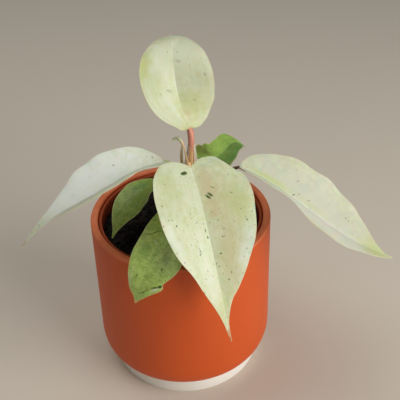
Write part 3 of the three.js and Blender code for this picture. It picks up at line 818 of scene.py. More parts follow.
def build_variegation_group():
    """A ground colour with a wash over it, in soft clouds and in streaks that run with the margins."""
    tree, given, result = new_group(
        "leaf_variegation",
        {
            "Fan": ("Vector", (0, 0, 0)),
            "Flat": ("Vector", (0, 0, 0)),
            "Ground": ("Color", WHITE),
            "Wash": ("Color", WHITE),
            "Left wash": ("Float", 0.3),
            "Right wash": ("Float", 0.3),
            "Tip wash": ("Float", 0.0),
            "Base wash": ("Float", 0.0),
            "Streaks": ("Float", 1.3),
            "Mottle": ("Float", 0.5),
            "Seed": ("Float", 0.0),
        },
        {"Color": "Color"},
    )
    fan = axes(tree, given["Fan"])
    drawn = joined(tree, times(tree, fan["X"], 5.0), times(tree, fan["Y"], 14.0))
    streaks = noise(tree, drawn, scale=1.0, detail=3.0, seed=given["Seed"])
    clouds = noise(tree, given["Flat"], scale=5.0, detail=3.0, seed=given["Seed"])
    mottle = noise(tree, given["Flat"], scale=26.0, detail=4.0, seed=given["Seed"])
    fine = noise(tree, given["Flat"], scale=80.0, detail=4.0, seed=given["Seed"])
    is_left = fade(tree, fan["Y"], -0.04, 0.04)
    amount = add(tree, "Mix", {0: is_left, 2: given["Right wash"], 3: given["Left wash"]}).outputs[0]
    parts = (
        (fade(tree, fan["X"], *TIP_ZONE), given["Tip wash"]),
        (fade(tree, fan["X"], *BASE_ZONE), given["Base wash"]),
        (centred(tree, streaks), given["Streaks"]),
        (centred(tree, clouds), CLOUD_WASH),
        (centred(tree, mottle), given["Mottle"]),
        (centred(tree, fine), given["Mottle"]),
    )
    for value, weight in parts:
        amount = calc(tree, "ADD", amount, times(tree, value, weight))
    amount = calc(tree, "ADD", amount, 0.0, clamp=True)
    tree.links.new(mixed(tree, amount, given["Ground"], given["Wash"]), result["Color"])


def build_speck_group():
    """Small dark specks, long along the side veins, in a few of the cells of a loose net."""
    tree, given, result = new_group(
        "leaf_specks",
        {
            "Flat": ("Vector", (0, 0, 0)),
            "Scale": ("Float", 14.0),
            "Share": ("Float", 0.2),
            "Size": ("Float", 0.3),
            "Seed": ("Float", 0.0),
        },
        {"Mask": "Float"},
    )
    flat = axes(tree, given["Flat"])
    folded = joined(tree, flat["X"], calc(tree, "ABSOLUTE", flat["Y"]), given["Seed"])
    sockets = {"Vector": folded, "Rotation": (0, 0, -VEIN_ANGLE), "Scale": (1, SPECK_STRETCH, 1)}
    turned = add(tree, "Mapping", sockets).outputs[0]
    shift = times(tree, centred(tree, noise(tree, given["Flat"], scale=160.0, detail=1.0)), SPECK_RAGGED)
    wobbled = add(tree, "VectorMath", {0: turned, 1: joined(tree, shift, shift)}).outputs[0]
    cells = add(tree, "TexVoronoi", {"Vector": wobbled, "Scale": given["Scale"]}).outputs
    chance = axes(tree, cells["Color"])
    chosen = calc(tree, "LESS_THAN", chance["X"], given["Share"])
    radius = times(tree, given["Size"], ranged(tree, chance["Y"], low=0.2, reach=0.8))
    inside = fade(tree, calc(tree, "DIVIDE", cells["Distance"], radius), 1.0, 0.6)
    tree.links.new(times(tree, inside, chosen), result["Mask"])


def build_spot_group():
    """One spot at a place on the flat blade, turned by an angle, with a ragged and more or less soft edge."""
    tree, given, result = new_group(
        "leaf_spot",
        {
            "Flat": ("Vector", (0, 0, 0)),
            "Place": ("Vector", (0, 0, 0)),
            "Turn": ("Vector", (0, 0, 0)),
            "Size": ("Vector", (0.01, 0.01, 1)),
            "Soft": ("Float", 0.3),
            "Grain": ("Float", 120.0),
            "Amount": ("Float", 1.0),
        },
        {"Mask": "Float"},
    )
    away = add(tree, "VectorMath", {0: given["Flat"], 1: given["Place"]}, operation="SUBTRACT").outputs[0]
    sockets = {"Vector": away, "Rotation": given["Turn"]}
    turned = add(tree, "VectorRotate", sockets, rotation_type="EULER_XYZ", invert=True).outputs[0]
    scaled = add(tree, "VectorMath", {0: turned, 1: given["Size"]}, operation="DIVIDE").outputs[0]
    distance = add(tree, "VectorMath", {0: scaled}, operation="LENGTH").outputs["Value"]
    ragged = centred(tree, noise(tree, given["Flat"], given["Grain"]))
    distance = calc(tree, "ADD", distance, times(tree, ragged, SPOT_RAGGED))
    inside = fade(tree, distance, 1.05, calc(tree, "SUBTRACT", 1.0, given["Soft"]))
    tree.links.new(times(tree, inside, given["Amount"]), result["Mask"])


def build_vein_group():
    """Thin side veins, twice as many as in relief, that sweep forward from the midrib to the margin."""
    tree, given, result = new_group(
        "leaf_veins",
        {"Fan": ("Vector", (0, 0, 0)), "Count": ("Float", 2.0 * SIDE_VEINS)},
        {"Mask": "Float"},
    )
    fan = axes(tree, given["Fan"])
    across = calc(tree, "ABSOLUTE", fan["Y"])
    sweep = times(tree, calc(tree, "POWER", across, VEIN_BEND), VEIN_SWEEP)
    turn = calc(tree, "FRACT", times(tree, calc(tree, "SUBTRACT", fan["X"], sweep), given["Count"]))
    line = fade(tree, calc(tree, "ABSOLUTE", centred(tree, turn)), 0.1, 0.0)
    tree.links.new(times(tree, line, fade(tree, across, 1.0, 0.7)), result["Mask"])


def build_streak_group():
    """Streaks along a stalk or stem, with small pale freckles."""
    tree, given, result = new_group(
        "stalk_streaks",
        {
            "Tube": ("Vector", (0, 0, 0)),
            "Around": ("Float", 26.0),
            "Along": ("Float", 3.0),
            "Place": ("Vector", (0, 0, 0)),
        },
        {"Streaks": "Float", "Freckles": "Float"},
    )
    tube = axes(tree, given["Tube"])
    drawn = joined(tree, times(tree, tube["X"], given["Around"]), times(tree, tube["Y"], given["Along"]))
    tree.links.new(noise(tree, drawn, scale=1.0, detail=3.0), result["Streaks"])
    tree.links.new(dots(tree, given["Place"], scale=900.0, edge=0.3, core=0.15), result["Freckles"])


def build_groups():
    build_variegation_group()
    build_speck_group()
    build_spot_group()
    build_vein_group()
    build_streak_group()


# Finishes

# Tones that a finish mixes into the colours that the settings give
GLAZE_SPECK = colour(120, 48, 26)
CLAY_SAND = colour(248, 244, 232)
CLAY_PIT = colour(150, 132, 104)
PLASTIC_DUST = colour(140, 78, 46)
PEAT_LIGHT = colour(28, 20, 14)
PEAT_DARK = colour(8, 6, 4)
BARK_DARK = colour(18, 13, 9)
STALK_FRECKLE = colour(232, 206, 180)
SHEATH_PALE = colour(252, 226, 198)
SHEATH_PINK = colour(246, 204, 172)
# The sheath's inside is painted light: a light yellow for light that shines through the thin sheet
SHEATH_INSIDE_LIGHT = colour(254, 224, 166)
NEW_LEAF_STREAK = colour(232, 186, 128)
NEW_LEAF_TIP = colour(208, 214, 178)
BUD_SCALE_STREAK = colour(222, 202, 150)

# How much of its colour a stalk keeps in its dark streaks
STREAK_SHADE = (0.78, 0.7, 0.66)


def glaze_material(settings):
    """Satin glaze: slightly uneven, thinner over the lip and paler there with a painted highlight, thicker
    just above the foot.
    """
    constants = {"Specular IOR Level": 0.4, "Coat Weight": 0.2, "Coat Roughness": 0.5}
    material, tree, shader = new_material("terracotta_glaze", constants)
    place = object_place(tree)
    height = axes(tree, place)["Z"]
    clouds = noise(tree, place, scale=26.0, detail=3.0)
    shade = mixed(tree, times(tree, clouds, 0.8), settings.glaze, settings.glaze_deep)
    # Paler towards the top of the lip: thinner glaze and a painted highlight
    lip = fade(tree, height, settings.height - 2.4 * MM, settings.height - 0.2 * MM)
    uneven = calc(tree, "ADD", noise(tree, place, scale=120.0, detail=3.0), 0.25)
    shade = mixed(tree, calc(tree, "MULTIPLY", lip, uneven, clamp=True), shade, settings.glaze_thin_and_highlight)
    roll = fade(tree, height, settings.foot_height + 3 * MM, settings.foot_height + 0.3 * MM)
    shade = over(tree, shade, settings.glaze_deep, roll, 0.6)
    shade = over(tree, shade, GLAZE_SPECK, dots(tree, place, scale=420.0, edge=0.16, core=0.08), 0.25)
    grain = noise(tree, place, scale=260.0, detail=3.0)
    dress(tree, shader, shade, bump(tree, grain, 0.05 * MM, 0.5), ranged(tree, grain, low=0.52, reach=0.14))
    return material


def clay_material(settings):
    """Bare cream stoneware with fine sand in it."""
    material, tree, shader = new_material("bare_clay", {"Roughness": 0.7})
    place = object_place(tree)
    grain = noise(tree, place, scale=900.0, detail=4.0)
    shade = mixed(tree, grain, settings.clay, CLAY_SAND)
    shade = over(tree, shade, CLAY_PIT, dots(tree, place, scale=700.0, edge=0.2, core=0.05), 0.12)
    dress(tree, shader, shade, bump(tree, grain, 0.12 * MM))
    return material


def plastic_material(settings):
    """Thin brown moulded plastic, slightly dusty, paler over its rim band and darker below it."""
    material, tree, shader = new_material("brown_plastic", {"Specular IOR Level": 0.25})
    place = object_place(tree)
    # The rim band, paler than the darker plastic below it
    dry = fade(tree, axes(tree, place)["Z"], settings.top - settings.rim, settings.top - 0.5 * MM)
    dust = fade(tree, noise(tree, place, scale=90.0, detail=5.0), 0.5, 0.75)
    shade = mixed(tree, dry, settings.plastic, settings.plastic_rim)
    shade = over(tree, shade, PLASTIC_DUST, dust, 0.2)
    normal = bump(tree, noise(tree, place, scale=1400.0, detail=1.0), 0.02 * MM)
    dress(tree, shader, shade, normal, ranged(tree, dust, low=0.42, reach=0.3))
    return material


def peat_material(settings):
    """Dark fine potting mix, damp in places."""
    material, tree, shader = new_material("peat", {"Specular IOR Level": 0.2})
    place = object_place(tree)
    grain = noise(tree, place, scale=600.0, detail=5.0)
    shade = mixed(tree, fade(tree, grain, 0.4, 0.75), settings.peat, PEAT_LIGHT)
    shade = mixed(tree, fade(tree, noise(tree, place, scale=60.0), 0.45, 0.65), shade, PEAT_DARK)
    damp = ranged(tree, noise(tree, place, scale=120.0), low=0.5, reach=0.5)
    dress(tree, shader, shade, bump(tree, grain, 0.4 * MM), damp)
    return material


def bark_material(settings):
    """Bark chips with a coarse grain."""
    material, tree, shader = new_material("bark_chip", {"Roughness": 0.8, "Specular IOR Level": 0.25})
    stretched = add(tree, "Mapping", {"Vector": object_place(tree), "Scale": (1, 0.3, 1)}).outputs[0]
    grain = noise(tree, stretched, scale=700.0, detail=4.0)
    dress(tree, shader, mixed(tree, grain, settings.bark, BARK_DARK), bump(tree, grain, 0.3 * MM))
    return material


def stalk_material(name, low, high, turn=0.5):
    """A fresh stalk: satin, streaked lengthwise and freckled, that changes colour part of the way up."""
    constants = {"Roughness": 0.42, "Subsurface Weight": 0.12, "Subsurface Scale": 1.5 * MM}
    material, tree, shader = new_material(name, constants)
    tube = uv_place(tree, "tube")
    lines = placed(tree, "stalk_streaks", {"Tube": tube, "Place": object_place(tree)})
    shade = mixed(tree, fade(tree, axes(tree, tube)["Y"], turn - 0.1, turn + 0.1), low, high)
    dark = mixed(tree, 1.0, shade, STREAK_SHADE, "MULTIPLY")
    shade = mixed(tree, fade(tree, lines["Streaks"], 0.35, 0.7), shade, dark)
    shade = over(tree, shade, STALK_FRECKLE, lines["Freckles"], 0.3)
    dress(tree, shader, shade, bump(tree, lines["Streaks"], 0.12 * MM, 0.6))
    return material


def thin_tissue(roughness, weight, depth):
    """A thin dry sheet that the light shines through, yellower on the way; depth in metres."""
    return {
        "Roughness": roughness,
        "Subsurface Weight": weight,
        "Subsurface Scale": depth,
        "Subsurface Radius": (1, 0.9, 0.75),
    }


def sheath_material():
    """The papery pink sheath, with painted light inside: a light yellow for the light that shines through it.
    """
    material, tree, shader = new_material("pink_sheath", thin_tissue(0.5, 0.8, 3 * MM))
    sockets = {"Tube": uv_place(tree, "tube"), "Around": 40.0}
    streaks = placed(tree, "stalk_streaks", sockets)["Streaks"]
    outer = mixed(tree, streaks, SHEATH_PALE, SHEATH_PINK)
    shade = mixed(tree, attribute(tree, "inner"), outer, SHEATH_INSIDE_LIGHT)
    dress(tree, shader, shade, bump(tree, streaks, 0.1 * MM, 0.5))
    return material


def new_leaf_material(settings):
    """The rolled new leaf: cream to yellow, green at its curled tip."""
    constants = {"Roughness": 0.45, "Subsurface Weight": 0.2, "Subsurface Scale": 1 * MM}
    material, tree, shader = new_material("rolled_leaf", constants)
    tube = uv_place(tree, "tube")
    streaks = placed(tree, "stalk_streaks", {"Tube": tube, "Around": 18.0})["Streaks"]
    shade = mixed(tree, streaks, settings.bud, NEW_LEAF_STREAK)
    shade = mixed(tree, fade(tree, axes(tree, tube)["Y"], 0.7, 0.8), shade, NEW_LEAF_TIP)
    dress(tree, shader, shade, bump(tree, streaks, 0.08 * MM, 0.5))
    return material


def scale_material(settings):
    """The dry bud scale: papery, pale and streaked."""
    material, tree, shader = new_material("dry_scale", thin_tissue(0.7, 0.6, 2 * MM))
    sockets = {"Tube": uv_place(tree, "tube"), "Around": 12.0, "Along": 1.0}
    streaks = placed(tree, "stalk_streaks", sockets)["Streaks"]
    shade = mixed(tree, streaks, settings.scale, BUD_SCALE_STREAK)
    dress(tree, shader, shade, bump(tree, streaks, 0.15 * MM, 0.7))
    return material


# Each kind of leaf: its ground, the wash over it, and how strong its pale midrib is
TONES = {
    "cream_leaf": ("cream", "wash", 0.3),
    "lime_leaf": ("lime", "lime_wash", 0.04),
    "green_leaf": ("green", "green_wash", 0.08),
}

# How soft the edge of a patch and of a mark is, and how fine its raggedness
PATCH_EDGE = (0.85, 22.0)
MARK_EDGE = (0.45, 130.0)

# Width of the midrib's pale line in millimetres, and where along the blade it would run out
MIDRIB_WIDTH = 0.9
MIDRIB_END = 1.15


def spot_mask(tree, flat, place, soft, grain):
    """A spot from its place along and beside the midrib, length, width, angle and strength."""
    x, y, long, wide, angle, amount = place
    sockets = {
        "Flat": flat,
        "Place": (x / DECIMETRE, y / DECIMETRE, 0),
        "Turn": (0, 0, radians(angle)),
        "Size": (long / DECIMETRE / 2, wide / DECIMETRE / 2, 1),
        "Soft": soft,
        "Grain": grain,
        "Amount": amount,
    }
    return placed(tree, "leaf_spot", sockets)["Mask"]


def leaf_colour(tree, leaf, settings, flat, fan):
    """The blade's colour: ground and wash, patches, side veins, midrib and specks."""
    ground_name, wash_name, rib_amount = TONES[leaf["tone"]]
    ground, wash = (opaque(getattr(settings, key)) for key in (ground_name, wash_name))
    seed = leaf["seed"]
    sockets = {"Fan": fan, "Flat": flat, "Ground": ground, "Wash": wash, "Seed": seed, **leaf["wash"]}
    shade = placed(tree, "leaf_variegation", sockets)["Color"]
    # Patches: tones of the leaf, and on some leaves painted shade and painted light
    for tone, *place in leaf["patches"]:
        shade = mixed(tree, spot_mask(tree, flat, place, *PATCH_EDGE), shade, getattr(settings, tone))
    veins = placed(tree, "leaf_veins", {"Fan": fan})["Mask"]
    shade = over(tree, shade, settings.pale, veins, 0.05)

    off_midrib = calc(tree, "ABSOLUTE", axes(tree, flat)["Y"])
    left_to_go = calc(tree, "SUBTRACT", MIDRIB_END, axes(tree, fan)["X"])
    rib_width = times(tree, left_to_go, MIDRIB_WIDTH / DECIMETRE)
    rib = fade(tree, calc(tree, "DIVIDE", off_midrib, rib_width), 1.0, 0.4)
    shade = over(tree, shade, settings.pale, rib, rib_amount)

    fine = {"Flat": flat, "Scale": 32.0, "Share": leaf["specks"], "Size": 0.24, "Seed": seed}
    coarse = {"Flat": flat, "Scale": 8.0, "Share": 0.14, "Size": 0.1, "Seed": seed + 5}
    fine_mask = times(tree, placed(tree, "leaf_specks", fine)["Mask"], 0.7)
    coarse_mask = times(tree, placed(tree, "leaf_specks", coarse)["Mask"], 0.4)
    specks = calc(tree, "MAXIMUM", fine_mask, coarse_mask)
    for place in leaf["marks"]:
        specks = calc(tree, "MAXIMUM", specks, spot_mask(tree, flat, place, *MARK_EDGE))
    return mixed(tree, specks, shade, settings.speck), veins


def leaf_material(name, leaf, settings):
    """A leaf blade: patched and specked above, paler below, with a thin coloured margin."""
    constants = {"Subsurface Weight": 0.35, "Subsurface Scale": 1 * MM}
    material, tree, shader = new_material(name + "_finish", constants)
    flat, fan = uv_place(tree, "flat"), uv_place(tree, "fan")
    shade, veins = leaf_colour(tree, leaf, settings, flat, fan)
    before_tip = fade(tree, axes(tree, fan)["X"], 0.97, 0.88)
    margin = times(tree, fade(tree, attribute(tree, "from_margin"), 0.8, 0.2), before_tip)
    shade = over(tree, shade, settings.margin, margin, 0.3)
    under = times(tree, attribute(tree, "underside"), before_tip)
    shade = over(tree, shade, settings.underside, under, 0.4)
    skin = noise(tree, flat, scale=110.0)
    height = calc(tree, "SUBTRACT", times(tree, skin, 0.25), times(tree, veins, 0.25))
    dress(tree, shader, shade, bump(tree, height, 0.12 * MM, 0.5), ranged(tree, skin, low=0.38, reach=0.16))
    return material


def floor_material(settings):
    """A plain pale studio floor."""
    material, tree, shader = new_material("studio_floor", {"Roughness": 0.8})
    soft = noise(tree, object_place(tree), scale=9.0, detail=3.0)
    dress(tree, shader, mixed(tree, soft, settings.floor, tuple(0.97 * value for value in settings.floor)))
    return material


# Cover pot

POT_STEPS = 180
LIP_ROUND = 1.5
FOOT_ROUND = 0.8
FOOT_ROUND_MIDDLE = 0.25
SHOULDER_START = -74

# The inside narrows to a well over the thick base
WELL_RADIUS = 44
WELL_HEIGHT = 22

# The glaze ends in a thin bead, and its edge wanders in waves: how many, how high and where they start
GLAZE_BEAD = 0.35
GLAZE_WAVES = ((3, 0.3, 0.6), (7, 0.18, 2), (13, 0.1, 0))


def glaze_waver(angle):
    """How far the glaze's lower edge wanders up and down, in millimetres."""
    return sum(high * np.sin(count * angle + start) for count, high, start in GLAZE_WAVES)


def cover_pot(settings):
    """A straight pot with a rolled lip, a rounded shoulder and a bare foot that the glaze stops above."""
    keys = ("radius", "height", "wall", "foot_radius", "foot_height")
    size = {key: getattr(settings, key) / MM for key in keys}
    shoulder, lip = settings.shoulder_height / MM, LIP_ROUND
    inner = size["radius"] - size["wall"]
    foot, edge = size["foot_radius"], size["foot_height"]
    wall_heights = np.linspace(shoulder, size["height"] - lip, 14)
    profile = [
        (0, 0),
        (foot - FOOT_ROUND, 0),
        (foot - FOOT_ROUND_MIDDLE, FOOT_ROUND_MIDDLE),
        (foot, FOOT_ROUND),
        (foot, edge - 3),
        (foot, edge - 0.2),
        (foot + GLAZE_BEAD, edge),
        (foot + 3 * GLAZE_BEAD, edge + GLAZE_BEAD),
        *arc((foot, shoulder), (size["radius"] - foot, shoulder - edge), SHOULDER_START, 0, 16),
        *[(size["radius"], z) for z in wall_heights[1:-1]],
        *arc((size["radius"] - lip, size["height"] - lip), (lip, lip), 0, 90, 8),
        *arc((inner + lip, size["height"] - lip), (lip, lip), 90, 180, 8),
        *[(inner, z) for z in wall_heights[-2:1:-1]],
        (inner, POT_FLOOR + WELL_HEIGHT),
        (WELL_RADIUS + 1, POT_FLOOR + 2),
        (WELL_RADIUS, POT_FLOOR + 0.5),
        (WELL_RADIUS - 1, POT_FLOOR),
        (0, POT_FLOOR),
    ]
    obj = spun("cover_pot", profile, POT_STEPS)
    places = coordinates(obj) / MM
    radius = np.hypot(places[:, 0], places[:, 1])
    angle = np.arctan2(places[:, 1], places[:, 0])
    at_edge = (radius > foot - 0.1) & (places[:, 2] > edge - 0.5) & (places[:, 2] < edge + 2)
    places[at_edge, 2] += glaze_waver(angle[at_edge])
    put(obj, places * MM)
    for face in obj.data.polygons:
        centre = face.center / MM
        low = centre.z < edge - 0.1 + glaze_waver(atan2(centre.y, centre.x)) and face.normal.z < 0.5
        outside = Vector((centre.x, centre.y)).length < foot + 0.1
        face.material_index = int(low and outside)
    smooth(obj, 40)
    return finish_piece(obj, "pot", [glaze_material(settings), clay_material(settings)])


# Grow pot and soil

GROW_STEPS = 144
RIM_STEP = 0.9
DRAIN_HOLES = 5
DRAIN_RADIUS = 4
DRAIN_RING = 24
DRAIN_SIDES = 24


def grow_pot(settings):
    """A thin tapered pot with a rolled rim and drain holes in its floor."""
    top, rim, wall = settings.top / MM, settings.rim / MM, settings.wall / MM
    wide, narrow = settings.top_radius / MM, settings.base_radius / MM
    base, bead = POT_FLOOR + GROW_CLEARANCE, RIM_BEAD
    profile = [
        (0, base),
        (narrow - 1, base),
        (narrow, base + 1),
        (wide - RIM_STEP, top - rim),
        (wide, top - rim + RIM_STEP),
        *arc((wide - bead, top - bead), (bead, bead), 0, 180, 10),
        (wide - 2 * bead, top - rim),
        (narrow - wall, base + wall),
        (0, base + wall),
    ]
    obj = spun("grow_pot_body", profile, GROW_STEPS)
    for i in range(DRAIN_HOLES):
        deselect()
        angle = tau * i / DRAIN_HOLES
        centre = (DRAIN_RING * cos(angle) * MM, DRAIN_RING * sin(angle) * MM, (base + wall / 2) * MM)
        bpy.ops.mesh.primitive_cylinder_add(
            vertices=DRAIN_SIDES, radius=DRAIN_RADIUS * MM, depth=4 * wall * MM, location=centre
        )
        drill = active("drill")
        cut = obj.modifiers.new("drain", "BOOLEAN")
        cut.object = drill
        cut.operation = "DIFFERENCE"
        apply_modifiers(obj)
        bpy.data.objects.remove(drill)
    smooth(obj, 40)
    return finish_piece(obj, "grow_pot", [plastic_material(settings)])


SOIL_STEPS = 180
SOIL_RINGS = 56
SOIL_TOP = 107.5
SOIL_GAP = 0.45

# The soil's surface in millimetres: its swell, the height and spacing of its lumps, and its grain
SOIL_SWELL = 1.6
LUMP_HEIGHT = 0.7
LUMP_SPACING = 3.2
BROAD_SPACING = 6
GRAIN_SIZE = 2.2
GRAIN_DEPTH = 1.5

# The loose pieces on the soil: smallest and largest size, how high the middle lies in sizes, how far they
# keep from the edge, and how far they tilt
LOOSE = {
    "soil_crumbs": ((0.35, 1.25), 0.25, 0, 1.0),
    "bark_chips": ((1.3, 3.6), 0.1, 3, 0.28),
    "soil_fibres": ((0.6, 1.3), 0.5, 6, 0.1),
}
LOOSE_INSET = 4
LOOSE_STRETCH = (0.7, 1.3)
LOOSE_DENT = 0.16
CHIP_SHAPE = (1, 0.62, 0.22)
CHIP_BEVEL = 0.16
FIBRE_PATH = ((-5, 0, 0), (-2, 0.8, 0.5), (1, -0.6, 0.3), (5, 0.5, 0))
FIBRE_RADIUS = 0.12


def soil_relief(x, y, reach):
    """How far the soil stands above its edge, in millimetres: a low swell with broad lumps."""
    share = np.clip(1 - (x**2 + y**2) / reach**2, 0, 1)
    fine = np.sin(x / LUMP_SPACING) * np.cos(y / LUMP_SPACING)
    broad = np.sin((x + y) / BROAD_SPACING) * np.sin((x - y) / LUMP_SPACING)
    return (SOIL_SWELL + LUMP_HEIGHT * (fine + broad)) * share


def soil_body(settings):
    """The soil fills the grow pot up to a lumpy, crumbly surface."""
    pot = bpy.context.scene.plant_grow_pot
    floor = POT_FLOOR + GROW_CLEARANCE + pot.wall / MM + GROW_CLEARANCE
    low = (pot.base_radius - pot.wall) / MM - SOIL_GAP
    rise = (SOIL_TOP - POT_FLOOR) / ((pot.top - pot.rim) / MM - POT_FLOOR)
    high = low + (pot.top_radius / MM - (2 * RIM_BEAD + SOIL_GAP) - low) * rise
    profile = [(0, floor), (low, floor), (high, SOIL_TOP - 2)]
    profile += [(high * (1 - i / SOIL_RINGS), SOIL_TOP) for i in range(SOIL_RINGS + 1)]
    obj = spun("soil_body", profile, SOIL_STEPS)
    places = coordinates(obj) / MM
    on_top = places[:, 2] > SOIL_TOP - 0.1
    places[on_top, 2] += soil_relief(places[on_top, 0], places[on_top, 1], high)
    put(obj, places * MM)
    loose = obj.vertex_groups.new(name="loose")
    loose.add([int(i) for i in np.flatnonzero(on_top)], 1, "REPLACE")
    roughen(obj, GRAIN_SIZE * MM, GRAIN_DEPTH * MM, "loose")
    smooth(obj, 50)
    return finish_piece(obj, "soil", [peat_material(settings)])


def shape_of(obj):
    """A mesh's places and faces, after which the mesh is removed."""
    places = coordinates(obj)
    faces = [tuple(face.vertices) for face in obj.data.polygons]
    bpy.data.objects.remove(obj)
    return places, faces


def crumb_shape():
    deselect()
    bpy.ops.mesh.primitive_ico_sphere_add(subdivisions=1, radius=1)
    return shape_of(active("crumb"))


def chip_shape():
    """A flat chip with broken corners."""
    deselect()
    bpy.ops.mesh.primitive_cube_add(size=2)
    obj = active("chip")
    bpy.ops.transform.resize(value=CHIP_SHAPE)
    bpy.ops.object.transform_apply(location=False, rotation=False, scale=True)
    bevel = obj.modifiers.new("bevel", "BEVEL")
    bevel.width = CHIP_BEVEL
    bevel.segments = 1
    apply_modifiers(obj)
    return shape_of(obj)


def fibre_shape():
    """A thin bent fibre."""

    def radius(along, angle):
        return FIBRE_RADIUS + 0 * along

    obj = bent_bar("fibre", FIBRE_PATH, radius, sides=5, steps=8, facing=(0, 0, 1))
    put(obj, coordinates(obj) / MM)
    return shape_of(obj)


def scattered(name, shape, count, reach, dice):
    """Copies of one shape over the soil's surface, each turned, sized and dented at random."""
    places, faces = shape
    sizes, lift, inset, tilt = LOOSE[name]
    reach -= inset
    all_places, all_faces = [], []
    for i in range(count):
        radius = reach * np.sqrt(dice.random())
        angle = dice.uniform(0, tau)
        x, y = radius * np.cos(angle), radius * np.sin(angle)
        size = dice.uniform(*sizes)
        turn = Matrix.Rotation(dice.uniform(0, tau), 3, "Z") @ Matrix.Rotation(dice.normal(0, tilt), 3, "X")
        turn = np.array(turn @ Matrix.Rotation(dice.normal(0, tilt), 3, "Y"))
        stretch = dice.uniform(*LOOSE_STRETCH, 3)
        dents = 1 + dice.uniform(-LOOSE_DENT, LOOSE_DENT, (len(places), 1))
        z = SOIL_TOP + soil_relief(x, y, reach + 1) + lift * size
        all_places.append((places * stretch * dents) @ turn.T * size + (x, y, z))
        all_faces += [tuple(v + i * len(places) for v in face) for face in faces]
    mesh = bpy.data.meshes.new(name)
    mesh.from_pydata((np.concatenate(all_places) * MM).tolist(), [], all_faces)
    obj = bpy.data.objects.new(name, mesh)
    bpy.context.scene.collection.objects.link(obj)
    return obj


def soil_pieces(settings):
    """Loose crumbs, bark chips and fibres on top of the soil."""
    dice = np.random.default_rng(settings.seed)
    reach = bpy.context.scene.plant_grow_pot.top_radius / MM - LOOSE_INSET
    peat, bark = bpy.data.materials["peat"], bark_material(settings)
    pieces = (
        ("soil_crumbs", crumb_shape, settings.crumbs, peat),
        ("bark_chips", chip_shape, settings.chips, bark),
        ("soil_fibres", fibre_shape, settings.fibres, bark),
    )
    for name, shape, count, material in pieces:
        finish_piece(scattered(name, shape(), count, reach, dice), "soil", [material])


# Stem, stalks and new growth

STEM_PATH = ((4, 1, 80), (5, 2, 106), (6, 4, 126), (8, 6, 146))
STEM_RADII = (4.4, 5.2, 5.4, 4.6)
STEM_RINGS = (0.34, 0.52, 0.67, 0.8, 0.91)

# Where the stem begins to round off and where a stalk is thickened, as shares of their lengths
STEM_CROWN = 0.93
STALK_JOINT = 0.86

# How far a stalk runs along the midrib, before the blade's base and beyond it, and its radius at its end
STALK_RUN_IN = 3
STALK_END_RADIUS = 0.7

SHEATH_PATH = ((7.4, 6.2, 145), (8, 6.5, 152), (8.6, 6.8, 159.5), (8.9, 7, 167))
SHEATH_RADII = (4.8, 4.2, 3.3, 2.1)
SHEATH_WALL = 0.5
SHEATH_OPENING = radians(-91)
SHEATH_HALF = radians(150)

NEW_LEAF_PATH = (
    (7, 2.4, 150), (5.4, 1.8, 159), (4.3, 2.6, 166), (1.8, 4, 171.6), (-0.8, 5, 172.2), (-3, 5, 170.8),
)
NEW_LEAF_RADII = (1.1, 0.85, 0.55, 0.45, 1.15, 0.7)
NEW_LEAF_TURNS = 1.6

BUD_SCALE_PATH = ((3, 9, 143), (2, 10, 154), (2.6, 10, 164))
BUD_SCALE_HALF_WIDTHS = (0.9, 0.95, 0.85, 0.65, 0.12)
BUD_SCALE_THICKNESS = 0.35


def stem(settings):
    """The short stem, with a ring where each leaf has stood."""

    def radius(along, angle):
        rings = sum(np.exp(-(((along - ring) / 0.012) ** 2)) for ring in STEM_RINGS)
        ridges = 0.02 * np.sin(9 * angle + 3 * along)
        rounded = np.sqrt(np.clip(1 - ((along - STEM_CROWN) / 0.075) ** 2, 0.05, 1))
        cap = np.where(along > STEM_CROWN, rounded, 1)
        return spline(STEM_RADII, along) * (1 + 0.07 * rings + ridges) * cap

    obj = bent_bar("stem_body", STEM_PATH, radius, sides=32, steps=90, facing=(0, -1, 0))
    smooth(obj, 60)
    finish = stalk_material("green_stem", settings.stem, settings.tan, 0.75)
    return finish_piece(obj, "stem", [finish])


def stalk(name, leaf, settings):
    """A leaf's stalk, grooved on its upper side, that runs on into the midrib."""
    places, ahead, _, up = (part[0] for part in midrib(leaf))
    end = places - up * RIB_DEPTH / 2
    run_in = leaf.get("run_in", STALK_RUN_IN)
    path = (*leaf["stalk"], end - ahead * run_in, end + ahead * STALK_RUN_IN)
    radii = (*leaf["radii"], leaf["radii"][-1], STALK_END_RADIUS)

    def radius(along, angle):
        groove = 1 - 0.2 * np.exp(-((angle / 0.5) ** 2))
        ridges = 1 + 0.015 * np.cos(11 * angle)
        joint = 1 + 0.18 * np.exp(-(((along - STALK_JOINT) / 0.045) ** 2))
        return spline(radii, along) * groove * ridges * joint

    obj = bent_bar("leaf_stalk_" + name, path, radius, sides=24, steps=64, facing=up)
    smooth(obj, 60)
    low, high, turn = leaf["stalk_tones"]
    finish = stalk_material("stalk_" + name, getattr(settings, low), getattr(settings, high), turn)
    return finish_piece(obj, "stalk_" + name, [finish])


def sheath():
    """The flared sheath that clasps the foot of the top stalk, open towards the front."""
    obj, flat = sheet("stalk_sheath", columns=48, rows=40)
    along = (flat[:, 1] + 1) / 2
    angle = SHEATH_OPENING + pi + flat[:, 0] * SHEATH_HALF
    flare = 0.1 * flat[:, 0] ** 4
    height = along * (1 - flare)
    radius = spline(SHEATH_RADII, height) * (1 + flare) + 0.1 * np.sin(angle * 5)
    out = np.stack([np.cos(angle), np.sin(angle), 0 * angle], 1)
    put(obj, (spline(SHEATH_PATH, height) + out * radius[:, None]) * MM)
    write_uv(obj, "tube", angle / tau + 0.5, along)
    thicken(obj, SHEATH_WALL * MM, offset=-1)
    half_count = len(obj.data.vertices) // 2
    write_value(obj, "inner", np.arange(2 * half_count) >= half_count)
    bpy.ops.object.mode_set(mode="EDIT")
    bpy.ops.mesh.select_all(action="SELECT")
    bpy.ops.mesh.normals_make_consistent(inside=False)
    bpy.ops.object.mode_set(mode="OBJECT")
    smooth(obj, 50)
    return finish_piece(obj, "stalk_top", [sheath_material()])


